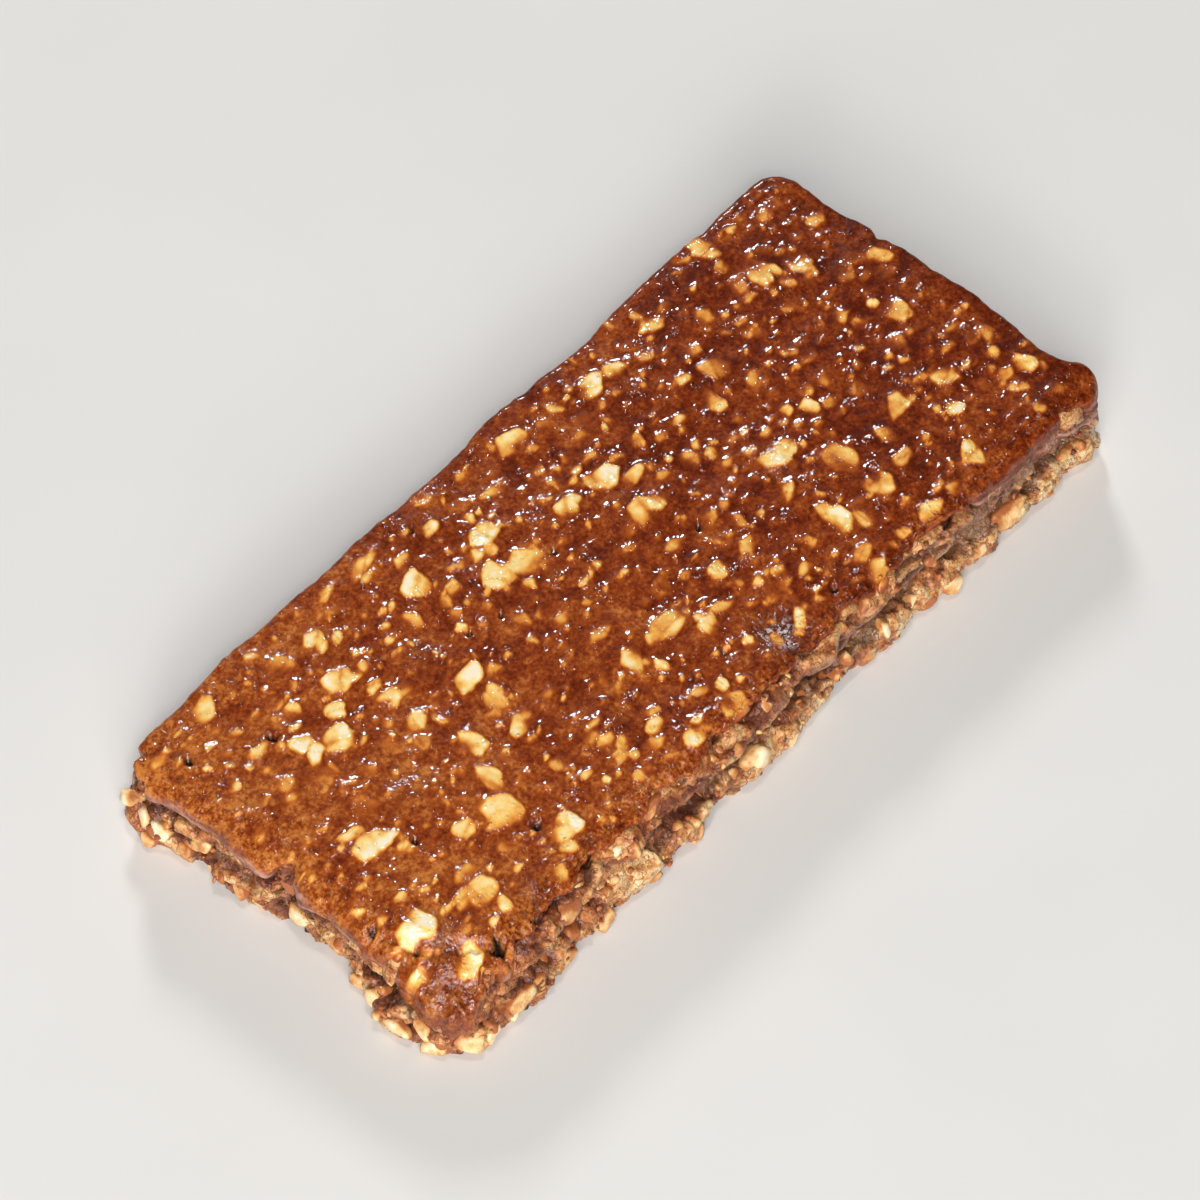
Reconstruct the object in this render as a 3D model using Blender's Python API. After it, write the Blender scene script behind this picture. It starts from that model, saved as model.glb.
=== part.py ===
"""A pressed granola bar: chopped nuts bound in a brown syrup paste, cut to a slab.

The bar lies flat along X. Its top has a smooth skin that rolls over into a lip.
Under the lip a crevice runs all round, and below it stands the crumbly lower band.
One corner is cracked off the skin and sags.
"""

from math import cos, exp, hypot, pi, sin, sqrt

import bmesh
import bpy

MM = 0.001

# Driving dimensions, in millimetres
LENGTH = 98.2
WIDTH = 43.6
THICKNESS = 10.0

# Plan radius at each corner, by the signs of x and y
CORNER_RADII = {(-1, 1): 4.4, (1, 1): 3.2, (1, -1): 4.2, (-1, -1): 4.0}

# Side section: how far the roundings and the crevice reach in from the side, and how high.
# The lip is worn further back along the side at negative y.
LIP_DEPTH = 1.2
LIP_HEIGHT = 2.4
WORN_LIP_DEPTH = 0.9
FOOT_DEPTH = 0.9
FOOT_HEIGHT = 1.4
CREVICE_DEPTH = 1.5
CREVICE_LEVEL = 4.3
CREVICE_HALF_HEIGHT = 0.8
CREVICE_DEEPENING = 2.4

# Waves: amplitude, waves along the length, waves across the width, phase
LIP_WAVES = ((0.22, 1.6, 1.1, 0.4), (0.16, 4.7, 3.1, 2.2), (0.10, 10.3, 6.2, 4.0))
BAND_WAVES = ((0.25, 2.3, 1.4, 1.2), (0.24, 6.1, 4.3, 3.3), (0.18, 12.7, 7.9, 0.6))
CREVICE_WAVES = ((0.35, 1.9, 2.7, 5.2), (0.25, 5.3, 3.7, 1.7))
SKIN_WAVES = (
    (0.08, 2.2, 1.3, 0.9),
    (0.08, 1.7, -1.9, 2.9),
    (0.05, 4.3, 2.2, 5.1),
    (0.05, 3.9, -2.8, 1.3),
    (0.04, 8.1, 3.7, 2.7),
    (0.04, 6.9, -4.9, 0.2),
)

# Places where the side stands out or in: x, y, reach, push on the lip, push on the band
SWELLS = (
    (-50.0, -15.6, 4.0, 0.2, 2.4),
    (-40.5, -22.0, 5.0, 0.3, 1.6),
    (-28.0, -22.0, 9.0, 0.0, 0.4),
    (-49.0, -2.5, 6.0, -0.2, -1.3),
    (-49.0, 0.8, 1.5, -1.2, 0.0),
    (-48.5, 19.5, 4.0, 0.7, 1.3),
    (48.5, -20.0, 4.0, 1.0, 1.1),
    (39.0, -21.8, 4.5, 0.0, 0.6),
    (49.0, -4.0, 11.0, 0.8, 0.2),
    (-36.0, 22.0, 12.0, 0.6, 0.2),
    (4.0, 22.0, 10.0, 0.6, 0.0),
)

# Shallow hollows and swells of the skin: x, y, reach, height
SKIN_SPOTS = (
    (5.0, -16.5, 3.2, -0.45),
    (-22.0, -16.0, 4.0, -0.20),
    (-42.5, -1.5, 2.4, 0.18),
    (-29.5, -9.5, 2.4, 0.20),
    (-14.5, 14.5, 2.6, 0.18),
    (20.8, -2.6, 2.0, 0.15),
    (47.0, 12.0, 3.0, -0.25),
    (36.5, -8.5, 3.0, -0.20),
)

# The cracked corner: the crack's two ends, its step and width, and how the corner sags
CRACK_START = (-47.8, -9.5)
CRACK_END = (-38.8, -21.6)
CRACK_STEP = 0.45
CRACK_WIDTH = 0.8
SAG_SLOPE = 0.36
SAG_FLOOR = 3.6

# Mesh spacing, and how fast the outline's wavering dies away inside the rim
COLUMNS_X = 54
COLUMNS_Y = 24
SIDE_ROWS = 15
RIM_FADE = 12

PASTE_COLOUR = (0.235, 0.075, 0.022, 1.0)
PASTE_ROUGHNESS = 0.35


def waves(terms, x, y):
    """Sum of plane sine waves counted over the bar's length and width."""
    turn = 2 * pi
    return sum(
        size * sin(turn * (along * x / LENGTH + across * y / WIDTH) + phase)
        for size, along, across, phase in terms
    )


def bump(x, y, centre_x, centre_y, reach):
    """Bell curve that is 1 at its centre and fades over its reach."""
    return exp(-((x - centre_x) ** 2 + (y - centre_y) ** 2) / reach**2)


def smooth_step(low, high, value):
    """0 below low, 1 above high, with an even cubic between."""
    t = min(max((value - low) / (high - low), 0.0), 1.0)
    return t * t * (3 - 2 * t)


def corner_frame(x, y):
    """Signs of the nearest corner, its arc's centre, and how far past the centre a point is."""
    side_x = 1 if x > 0 else -1
    side_y = 1 if y > 0 else -1
    radius = CORNER_RADII[(side_x, side_y)]
    centre_x = LENGTH / 2 - radius
    centre_y = WIDTH / 2 - radius
    past_x = max(abs(x) - centre_x, 0.0)
    past_y = max(abs(y) - centre_y, 0.0)
    return side_x, side_y, centre_x, centre_y, past_x, past_y


def round_corner(x, y):
    """Turns the square corners of a rectangle into arcs, keeping nested squares nested."""
    side_x, side_y, centre_x, centre_y, past_x, past_y = corner_frame(x, y)
    if not past_x or not past_y:
        return x, y
    shrink = max(past_x, past_y) / hypot(past_x, past_y)
    return side_x * (centre_x + past_x * shrink), side_y * (centre_y + past_y * shrink)


def outward(edge_x, edge_y):
    """Unit direction straight out of the side at a point of the plan outline."""
    side_x, side_y, _, _, past_x, past_y = corner_frame(edge_x, edge_y)
    reach = hypot(past_x, past_y)
    return side_x * past_x / reach, side_y * past_y / reach


def arc_inset(depth, height, from_edge):
    """How far a quarter ellipse lies in from the side, at a height from the edge it rounds."""
    up = min(max(from_edge / height, 0.0), 1.0)
    return depth * (1 - sqrt(1 - (1 - up) ** 2))


def crevice_inset(x, y, z):
    """How far the crevice reaches in: a bell over the height, whose level and depth waver."""
    waver = waves(CREVICE_WAVES, x, y)
    height = (z - CREVICE_LEVEL - waver) / CREVICE_HALF_HEIGHT
    depth = CREVICE_DEPTH * (1 + CREVICE_DEEPENING * waver * abs(waver))
    return depth * exp(-(height**2))


def side_offset(x, y, z):
    """How far the side stands out of the plan outline at a level: lip, crevice, band, foot."""
    lip_push = waves(LIP_WAVES, x, y)
    band_push = waves(BAND_WAVES, x, y)
    for place_x, place_y, reach, on_lip, on_band in SWELLS:
        near = bump(x, y, place_x, place_y, reach)
        lip_push += on_lip * near
        band_push += on_band * near
    upper = smooth_step(CREVICE_LEVEL - 1, CREVICE_LEVEL + 1, z)
    lip_depth = LIP_DEPTH + WORN_LIP_DEPTH * smooth_step(0, WIDTH / 2, -y)
    inset = (
        arc_inset(lip_depth, LIP_HEIGHT, THICKNESS - z)
        + arc_inset(FOOT_DEPTH, FOOT_HEIGHT, z)
        + crevice_inset(x, y, z)
    )
    return band_push + (lip_push - band_push) * upper - inset


def skin_height(x, y):
    """How far the skin lies above the bar's plain thickness: slow waves, hollows, swells."""
    spots = sum(
        height * bump(x, y, place_x, place_y, reach)
        for place_x, place_y, reach, height in SKIN_SPOTS
    )
    return waves(SKIN_WAVES, x, y) + spots


def sag(x, y, z):
    """How far a point of the cracked corner has dropped, from the crack out to the tip."""
    run_x = CRACK_END[0] - CRACK_START[0]
    run_y = CRACK_END[1] - CRACK_START[1]
    across = (x - CRACK_START[0]) * run_y - (y - CRACK_START[1]) * run_x
    past = across / hypot(run_x, run_y)
    drop = CRACK_STEP * smooth_step(0, CRACK_WIDTH, past) + SAG_SLOPE * max(past, 0.0)
    return drop * max(z - SAG_FLOOR, 0.0) / (THICKNESS - SAG_FLOOR)


def settle(x, y, z):
    """A point in metres, with the skin's relief and the corner's sag put on its level."""
    raised = z + skin_height(x, y) * z / THICKNESS
    return x * MM, y * MM, (raised - sag(x, y, raised)) * MM


def top_sheet():
    """The top: a grid of quads fitted to the outline. Each point keeps its outline point."""
    sheet = bmesh.new()
    bmesh.ops.create_grid(sheet, x_segments=COLUMNS_X, y_segments=COLUMNS_Y, size=1.0)
    outline = sheet.verts.layers.float_vector.new("outline")
    for vert in sheet.verts:
        half_x = vert.co.x * LENGTH / 2
        half_y = vert.co.y * WIDTH / 2
        rim = max(abs(vert.co.x), abs(vert.co.y))
        x, y = round_corner(half_x, half_y)
        if rim:
            edge_x, edge_y = round_corner(half_x / rim, half_y / rim)
            vert[outline] = (edge_x, edge_y, 0.0)
            out_x, out_y = outward(edge_x, edge_y)
            push = side_offset(edge_x, edge_y, THICKNESS) * rim**RIM_FADE
            x += out_x * push
            y += out_y * push
        vert.co = settle(x, y, THICKNESS)
    return sheet


def extrude_side(sheet):
    """Extrudes the top's rim down the side section, row by row, and returns the foot's edges."""
    outline = sheet.verts.layers.float_vector["outline"]
    rim = [edge for edge in sheet.edges if edge.is_boundary]
    for row in range(1, SIDE_ROWS + 1):
        level = THICKNESS * (1 + cos(pi * row / SIDE_ROWS)) / 2
        made = bmesh.ops.extrude_edge_only(sheet, edges=rim)["geom"]
        rim = [part for part in made if isinstance(part, bmesh.types.BMEdge) and part.is_boundary]
        for vert in (part for part in made if isinstance(part, bmesh.types.BMVert)):
            edge_x, edge_y, _ = vert[outline]
            out_x, out_y = outward(edge_x, edge_y)
            push = side_offset(edge_x, edge_y, level)
            vert.co = settle(edge_x + out_x * push, edge_y + out_y * push, level)
    return rim


def centre_plan(sheet):
    """Moves the bar so that the middle of its plan box is at the origin."""
    xs = [vert.co.x for vert in sheet.verts]
    ys = [vert.co.y for vert in sheet.verts]
    shift = (-(min(xs) + max(xs)) / 2, -(min(ys) + max(ys)) / 2, 0.0)
    bmesh.ops.translate(sheet, verts=sheet.verts, vec=shift)


def paste_material():
    """Brown syrup paste with a soft shine."""
    material = bpy.data.materials.new("paste")
    material.use_nodes = True
    shader = material.node_tree.nodes["Principled BSDF"]
    shader.inputs["Base Color"].default_value = PASTE_COLOUR
    shader.inputs["Roughness"].default_value = PASTE_ROUGHNESS
    shader.inputs["Metallic"].default_value = 0.0
    return material


def make_bar():
    """The whole bar as one closed solid with a flat underside."""
    sheet = top_sheet()
    foot = extrude_side(sheet)
    bmesh.ops.contextual_create(sheet, geom=foot)
    centre_plan(sheet)
    bmesh.ops.recalc_face_normals(sheet, faces=sheet.faces)
    mesh = bpy.data.meshes.new("bar")
    sheet.to_mesh(mesh)
    sheet.free()
    mesh.shade_smooth()
    mesh.materials.append(paste_material())
    bar = bpy.data.objects.new("bar", mesh)
    bpy.context.scene.collection.objects.link(bar)


for old in list(bpy.data.objects):
    bpy.data.objects.remove(old)
make_bar()
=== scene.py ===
"""Looks of a pressed granola bar: the crumb, its glossy skin, the chopped nuts in both, loose crumbs."""

import bpy
import numpy as np
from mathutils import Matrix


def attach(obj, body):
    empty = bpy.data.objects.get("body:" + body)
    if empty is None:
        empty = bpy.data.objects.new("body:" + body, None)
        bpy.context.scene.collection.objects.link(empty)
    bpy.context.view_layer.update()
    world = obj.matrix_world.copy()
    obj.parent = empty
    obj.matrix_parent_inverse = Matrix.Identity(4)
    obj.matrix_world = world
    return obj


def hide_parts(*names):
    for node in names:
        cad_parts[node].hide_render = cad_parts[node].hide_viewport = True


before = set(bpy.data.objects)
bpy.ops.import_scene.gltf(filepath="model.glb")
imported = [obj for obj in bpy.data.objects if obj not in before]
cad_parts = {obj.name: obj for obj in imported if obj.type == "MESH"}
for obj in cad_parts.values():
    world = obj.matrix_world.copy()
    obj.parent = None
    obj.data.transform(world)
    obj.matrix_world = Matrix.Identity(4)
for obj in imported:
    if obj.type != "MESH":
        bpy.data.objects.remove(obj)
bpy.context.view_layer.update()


# ---------------------------------------------------------------------------
# The crumb. Chopped nuts pressed together with syrup paste fill the whole bar under its skin.
# It shows all round the cut sides: a broken ledge under the skin, a worn lip with a painted mauve sheen, a crevice
# darkened with painted shade where two pressed layers meet, and below it the band that stands on the flat foot.
# ---------------------------------------------------------------------------
MM = 0.001
LENGTH = 98.2
WIDTH = 43.6
THICKNESS = 10.0
OUTLINE_CENTRE = (0.487, 0.27)
CORNER_RADII = {(1, 1): 3.2, (-1, 1): 4.4, (-1, -1): 4.0, (1, -1): 4.2}

# Waves of the side: amplitude, waves along the length, waves across the width, phase
LIP_WAVES = ((0.22, 1.6, 1.1, 0.4), (0.16, 4.7, 3.1, 2.2), (0.10, 10.3, 6.2, 4.0))
BAND_WAVES = ((0.25, 2.3, 1.4, 1.2), (0.24, 6.1, 4.3, 3.3), (0.18, 12.7, 7.9, 0.6))
CREVICE_WAVES = ((0.35, 1.9, 2.7, 5.2), (0.25, 5.3, 3.7, 1.7))
CREVICE_DEPTH = 1.5
CREVICE_LEVEL = 4.3
CREVICE_HALF_HEIGHT = 0.8
CREVICE_DEEPENING = 2.4

# Places where the side stands out or in: x, y, reach, push on the lip, push on the band
SWELLS = (
    (-50.0, -15.6, 4.0, 0.7, 1.7),
    (-40.5, -22.0, 5.0, 0.9, 1.4),
    (-48.0, -20.5, 3.5, 1.3, -0.1),
    (-28.0, -22.0, 9.0, 0.0, 0.4),
    (-49.0, -2.5, 6.0, -0.2, -1.3),
    (-49.0, 0.8, 1.5, -1.2, 0.0),
    (-48.5, 20.5, 4.0, 1.2, 1.5),
    (49.3, -20.2, 3.4, 2.2, 1.7),
    (39.0, -21.8, 4.5, 0.0, 0.2),
    (49.0, -5.0, 11.0, 1.0, 0.2),
    (-36.0, 22.0, 12.0, 0.6, 0.2),
    (4.0, 22.0, 10.0, 0.6, 0.0),
)

# The cracked corner: its straight crack line, its step and width, and how the corner sags
SAG_START = (-47.8, -9.5)
SAG_END = (-38.8, -21.6)
SAG_STEP = 0.45
SAG_WIDTH = 0.8
SAG_SLOPE = 0.36
SAG_FLOOR = 3.6

# Section of the crumb, from hidden inside, over the ledge and down to the foot: inset, level.
# The first is where the skin has broken back from the side, the second where a trench has opened
# beside its edge, the third where it rolls over.
BROKEN_CRUMB = (
    (6.0, 7.4), (4.4, 8.2), (3.2, 8.75), (2.4, 8.7), (1.7, 8.3), (1.2, 7.7), (0.9, 7.0), (0.8, 6.4),
    (1.0, 5.9), (1.5, 5.4), (2.7, 4.9), (2.6, 4.1), (0.7, 3.3), (0.0, 2.7), (0.0, 1.8), (0.25, 0.8), (0.9, 0.0),
)
TORN_CRUMB = (
    (6.0, 7.4), (4.4, 7.2), (3.4, 6.8), (2.8, 7.0), (2.1, 8.1), (1.5, 8.2), (0.8, 7.6), (0.4, 6.9),
    (0.6, 6.2), (1.5, 5.5), (2.8, 4.9), (2.8, 4.1), (0.7, 3.3), (0.0, 2.7), (0.0, 1.8), (0.25, 0.8), (0.9, 0.0),
)
ROLLED_CRUMB = (
    (6.0, 7.4), (4.4, 7.9), (3.2, 8.0), (2.4, 7.8), (1.9, 7.4), (1.7, 6.95), (1.4, 6.5), (1.0, 6.1),
    (0.7, 5.6), (0.75, 5.1), (1.2, 4.7), (1.25, 4.2), (0.35, 3.45), (0.0, 2.7), (0.0, 1.8), (0.25, 0.8), (0.9, 0.0),
)
# Where the skin is broken back: x, y, reach, share
BREAKS = (
    (-34.0, -22.0, 9.0, 1.0),
    (-18.0, -22.0, 10.0, 1.0),
    (0.0, -22.0, 11.0, 1.0),
    (18.0, -22.0, 10.0, 1.0),
    (27.0, -22.0, 5.0, 0.7),
    (45.0, -21.8, 2.4, 0.9),
    (-49.0, 1.6, 1.8, 0.8),
    (-49.0, -13.0, 1.6, 0.6),
    (-43.5, -22.0, 1.6, 0.6),
    (-48.6, 20.4, 3.2, 0.9),
    (49.0, 8.0, 3.0, 0.4),
)
CRUMB_COLUMNS = 1080
CRUMB_ROWS = 62
UNDERSIDE_ROWS = 20


def smooth_step(low, high, value):
    """0 below low, 1 above high, with an even cubic between."""
    t = np.clip((value - low) / (high - low), 0.0, 1.0)
    return t * t * (3 - 2 * t)


def bell(x, y, centre_x, centre_y, reach):
    """Bell curve that is 1 at its centre and fades over its reach."""
    return np.exp(-((x - centre_x) ** 2 + (y - centre_y) ** 2) / reach**2)


def waves(terms, x, y):
    """Sum of plane sine waves counted over the bar's length and width."""
    turn = 2 * np.pi
    return sum(
        size * np.sin(turn * (along * x / LENGTH + across * y / WIDTH) + phase)
        for size, along, across, phase in terms
    )


def hashed(cells, seed):
    """A number in 0..1 for each whole-number cell: its three indices and the seed, multiplied and mixed."""
    x, y, z = (cells[..., axis].astype(np.uint32) for axis in range(3))
    mixed = x * np.uint32(374761393) ^ y * np.uint32(668265263) ^ z * np.uint32(2246822519)
    mixed = (mixed ^ np.uint32(seed * 7919 + 17)) * np.uint32(3266489917)
    mixed = (mixed ^ (mixed >> np.uint32(15))) * np.uint32(2654435761)
    mixed = (mixed ^ (mixed >> np.uint32(13))) * np.uint32(1274126177)
    return (mixed ^ (mixed >> np.uint32(16))) / 2.0**32


def lumps(points, size, seed):
    """Gradient noise in about -1..1: each cell corner leans along a hashed direction, blended by a quintic."""
    spot = np.asarray(points) / size
    base = np.floor(spot).astype(np.int64)
    part = spot - base
    ease = part**3 * (part * (part * 6 - 15) + 10)
    total = np.zeros(spot.shape[:-1])
    for corner in np.ndindex(2, 2, 2):
        corner = np.array(corner)
        toward = part - corner
        lean = sum((hashed(base + corner, seed + axis) * 2 - 1) * toward[..., axis] for axis in range(3))
        total += lean * np.prod(np.where(corner, ease, 1 - ease), axis=-1)
    return total * 1.5


def pebbles(points, size, seed):
    """Cell noise: one hashed point a cell. Gives how far the nearest is short of the next, the nearest
    one's number, and the level of its facet: a plane through it that leans by a hashed slope."""
    spot = np.asarray(points) / size
    base = np.floor(spot).astype(np.int64)
    nearest = np.full(spot.shape[:-1], 9.0)
    following = nearest.copy()
    owner = base.copy()
    offset = np.zeros_like(spot)
    for corner in np.ndindex(3, 3, 3):
        cell = base + np.array(corner) - 1
        away = spot - cell - np.stack([hashed(cell, seed + axis) for axis in range(3)], axis=-1)
        gap = np.linalg.norm(away, axis=-1)
        closer = gap < nearest
        following = np.where(closer, nearest, np.minimum(following, gap))
        owner = np.where(closer[..., None], cell, owner)
        offset = np.where(closer[..., None], away, offset)
        nearest = np.minimum(nearest, gap)
    slope = np.stack([hashed(owner, seed + 4 + axis) * 2 - 1 for axis in range(3)], axis=-1)
    return following - nearest, hashed(owner, seed + 3), np.sum(slope * offset, axis=-1)


def outline_path(count):
    """The plan outline in even steps, anticlockwise: straight sides joined by quarter circles.

    Gives x, y and the angle of the outward direction at each step.
    """
    quarter = np.linspace(0, np.pi / 2, 25)
    radius = np.repeat(list(CORNER_RADII.values()), len(quarter))
    sign_x, sign_y = np.repeat(list(CORNER_RADII), len(quarter), axis=0).T
    angle = np.concatenate([quarter + corner * np.pi / 2 for corner in range(4)])
    x = sign_x * (LENGTH / 2 - radius) + radius * np.cos(angle)
    y = sign_y * (WIDTH / 2 - radius) + radius * np.sin(angle)
    x, y, angle = np.append(x, x[0]), np.append(y, y[0]), np.append(angle, 2 * np.pi)
    travel = np.append(0, np.cumsum(np.hypot(np.diff(x), np.diff(y))))
    steps = np.arange(count) / count * travel[-1]
    return tuple(np.interp(steps, travel, line) for line in (x, y, angle))


def side_pushes(x, y):
    """How far the lip and the band stand out of the plan outline: waves and named swells."""
    on_lip = waves(LIP_WAVES, x, y)
    on_band = waves(BAND_WAVES, x, y)
    for place_x, place_y, reach, lip, band in SWELLS:
        near = bell(x, y, place_x, place_y, reach)
        on_lip = on_lip + lip * near
        on_band = on_band + band * near
    return on_lip, on_band


def broken_back(x, y):
    """0 where the skin rolls over the side and 1 where it has broken back: named breaks, made uneven."""
    share = sum(amount * bell(x, y, px, py, reach) ** 2 for px, py, reach, amount in BREAKS)
    place = np.stack([x, y, np.zeros_like(x)], axis=-1)
    return smooth_step(0.25, 0.6, share + 0.12 * lumps(place, 5.0, 11) + 0.05 * lumps(place, 1.7, 12))


def sag(x, y, z):
    """How far a point of the cracked corner has dropped, from the crack out to the tip."""
    run_x = SAG_END[0] - SAG_START[0]
    run_y = SAG_END[1] - SAG_START[1]
    past = ((x - SAG_START[0]) * run_y - (y - SAG_START[1]) * run_x) / np.hypot(run_x, run_y)
    drop = SAG_STEP * smooth_step(0, SAG_WIDTH, past) + SAG_SLOPE * np.maximum(past, 0.0)
    return drop * np.maximum(z - SAG_FLOOR, 0.0) / (THICKNESS - SAG_FLOOR)


def smooth_section(knots, count):
    """A section's inset and level at even steps through its knots, on a Catmull-Rom curve."""
    knots = np.array(knots)
    knots = np.vstack([2 * knots[0] - knots[1], knots, 2 * knots[-1] - knots[-2]])
    gaps = np.linalg.norm(np.diff(knots, axis=0), axis=1)[1:-1]
    travel = np.append(0, np.cumsum(gaps))
    at = np.interp(np.linspace(0, travel[-1], count), travel, np.arange(len(travel)))
    first = np.minimum(at.astype(int), len(travel) - 2)
    t = (at - first)[:, None]
    a, b, c, d = (knots[first + step] for step in range(4))
    return 0.5 * (2 * b + (c - a) * t + (2 * a - 5 * b + 4 * c - d) * t**2 + (3 * b - a - 3 * c + d) * t**3)


def ring_faces(rows, columns, first=0):
    """Quads between rings of points, each ring closed, facing out when the rings run anticlockwise and down."""
    index = first + np.arange(rows * columns).reshape(rows, columns)
    beside = np.roll(index, -1, axis=1)
    return np.stack([index[:-1], index[1:], beside[1:], beside[:-1]], axis=-1).reshape(-1, 4)


def outward_normals(rings):
    """Unit normals of a ringed sheet, from the differences between neighbouring rings and columns."""
    along = np.roll(rings, -1, axis=1) - np.roll(rings, 1, axis=1)
    down = np.gradient(rings, axis=0)
    normal = np.cross(down, along)
    return normal / np.maximum(np.linalg.norm(normal, axis=-1, keepdims=True), 1e-9)


def make_piece(name, points, faces, **fields):
    """A mesh object from points in millimetres and groups of faces of one size; fields are numbers per point."""
    mesh = bpy.data.meshes.new(name)
    mesh.vertices.add(len(points))
    mesh.vertices.foreach_set("co", (np.asarray(points) * MM).astype(np.float32).ravel())
    sizes = np.concatenate([np.full(len(group), group.shape[1]) for group in faces])
    corners = np.concatenate([group.ravel() for group in faces])
    mesh.loops.add(len(corners))
    mesh.loops.foreach_set("vertex_index", corners.astype(np.int32))
    mesh.polygons.add(len(sizes))
    mesh.polygons.foreach_set("loop_start", np.append(0, np.cumsum(sizes)[:-1]).astype(np.int32))
    for field, values in fields.items():
        attribute = mesh.attributes.new(field, "FLOAT", "POINT")
        attribute.data.foreach_set("value", np.asarray(values, np.float32).ravel())
    mesh.update(calc_edges=True)
    mesh.shade_smooth()
    piece = bpy.data.objects.new(name, mesh)
    bpy.context.scene.collection.objects.link(piece)
    return piece


def crumb_rings():
    """Plain rings of the crumb: its section carried round the outline, blended, pushed and sagged."""
    x, y, angle = outline_path(CRUMB_COLUMNS)
    on_lip, on_band = side_pushes(x, y)
    broken = broken_back(x, y)
    waver = waves(CREVICE_WAVES, x, y)
    depth = CREVICE_DEPTH * (1 + CREVICE_DEEPENING * waver * np.abs(waver))
    path = np.stack([x, y, np.zeros_like(x)], axis=-1)
    torn = smooth_step(-0.25, 0.2, lumps(path, 7.0, 13))[:, None]
    bare, trench = smooth_section(BROKEN_CRUMB, CRUMB_ROWS)[:, None], smooth_section(TORN_CRUMB, CRUMB_ROWS)[:, None]
    bare = bare + (trench - bare) * torn
    covered = smooth_section(ROLLED_CRUMB, CRUMB_ROWS)[:, None]
    section = covered + (bare - covered) * broken[:, None]
    inset, level = section[..., 0], section[..., 1]
    in_crevice = np.exp(-(((level - CREVICE_LEVEL) / CREVICE_HALF_HEIGHT) ** 2)) * (inset < 3.0)
    upper = smooth_step(CREVICE_LEVEL - 1, CREVICE_LEVEL + 1, level)
    push = on_band + (on_lip - on_band) * upper
    out = push * smooth_step(5.0, 1.0, inset) - inset - (depth - CREVICE_DEPTH) * in_crevice
    level = level + waver * in_crevice
    rings = np.stack([x + out * np.cos(angle), y + out * np.sin(angle), level], axis=-1)
    return rings, broken, in_crevice


def crags(points, size, seed):
    """Sharp-crested relief in about -1..1: one less the doubled steepness of noise round zero, at two sizes."""
    coarse = 1 - 3.2 * np.abs(lumps(points, size, seed))
    return 0.7 * coarse + 0.3 * (1 - 3.2 * np.abs(lumps(points, size * 0.45, seed + 3)))


def crumb_relief(rings, broken, in_crevice):
    """Height of the crumb's surface over its plain rings: crags, tilted chunks, cracks.

    Each chunk is a cell with its own level and lean, parted from the next by a groove, and a crack runs
    where noise stretched along the bar passes through zero.
    """
    level = rings[..., 2]
    smooth_lip = (
        np.exp(-(((level - 6.2) / 1.1) ** 2))
        * smooth_step(-10.0, 0.0, rings[..., 0] + 5 * lumps(rings, 6.0, 19))
        * smooth_step(-15.0, -19.0, rings[..., 1])
    )
    rough = 1 - 0.55 * smooth_lip
    bent = rings + 0.45 * np.stack([lumps(rings, 1.3, seed) for seed in (15, 16, 17)], axis=-1)
    gap, kind, facet = pebbles(bent * np.array((0.45, 0.45, 1.0)), 2.4, 21)
    _, fine_kind, fine_facet = pebbles(bent * np.array((0.5, 0.5, 1.0)), 1.2, 31)
    stretched = rings * np.array((0.25, 0.25, 1.0))
    split = np.exp(-((lumps(stretched, 1.6, 41) / 0.06) ** 2)) * smooth_step(-0.1, 0.3, lumps(rings, 6.0, 43))
    groove = smooth_step(0.16, 0.0, gap)
    layers = crags(bent * np.array((0.3, 0.3, 1.0)), 1.5, 57)
    height = (
        0.35 * lumps(rings, 4.4, 51) + 0.45 * crags(bent * np.array((0.7, 0.7, 1.0)), 2.2, 55) + 0.35 * layers
        + 0.45 * (kind - 0.5) + 0.45 * facet - 0.15 * groove + 0.25 * (fine_kind - 0.5) + 0.3 * fine_facet
        - 1.2 * split + 0.1 * lumps(rings, 0.6, 53)
    )
    height = np.clip(height, -1.5, 0.75)
    # The recess amount is painted shade: grooves, splits, the crevice and the low places of the relief are marked to be
    # darkened where shade would fall.
    gaping = np.exp(-(((rings[..., 0] - 4.0) / 22.0) ** 2)) * smooth_step(-10.0, -18.0, rings[..., 1])
    shaded = in_crevice ** (1 - 0.4 * gaping)
    weight = 0.85 + 0.5 * smooth_step(-47.0, -43.0, rings[..., 0]) + 0.25 * gaping
    recess = np.clip(0.3 * groove + split + weight * shaded - 1.0 * height, 0, 1)
    tone = 0.6 * kind + 0.4 * fine_kind
    return height * rough, recess, tone, smooth_lip


rings, broken, in_crevice = crumb_rings()
height, recess, tone, smooth_lip = crumb_relief(rings, broken, in_crevice)
crumb_normals = outward_normals(rings)
shown = smooth_step(0.04, 0.16, np.linspace(0, 1, CRUMB_ROWS))[:, None]
crumb_skin = rings + crumb_normals * (height * shown)[..., None]
crumb_skin[..., 2] -= sag(crumb_skin[..., 0], crumb_skin[..., 1], crumb_skin[..., 2])
crumb_skin[..., 2] = np.maximum(crumb_skin[..., 2], 0.0)
crumb_skin[-1, :, 2] = 0.0


def underside_rings(foot):
    """Rings from the foot in to a line under the bar's middle, flat on the ground but for shallow pits."""
    spine = foot * np.array((0.0, 0.0, 0.0)) + np.stack(
        [np.clip(foot[:, 0], -27, 27), foot[:, 1] * 0, foot[:, 2] * 0], axis=-1
    )
    share = np.linspace(0, 0.985, UNDERSIDE_ROWS + 1)[1:, None, None]
    sheet = foot + (spine - foot) * share
    pits = np.maximum(lumps(sheet, 2.6, 61) + 0.5 * lumps(sheet, 1.1, 62) - 0.15, 0.0)
    sheet[..., 2] = 0.45 * pits
    return sheet


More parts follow.
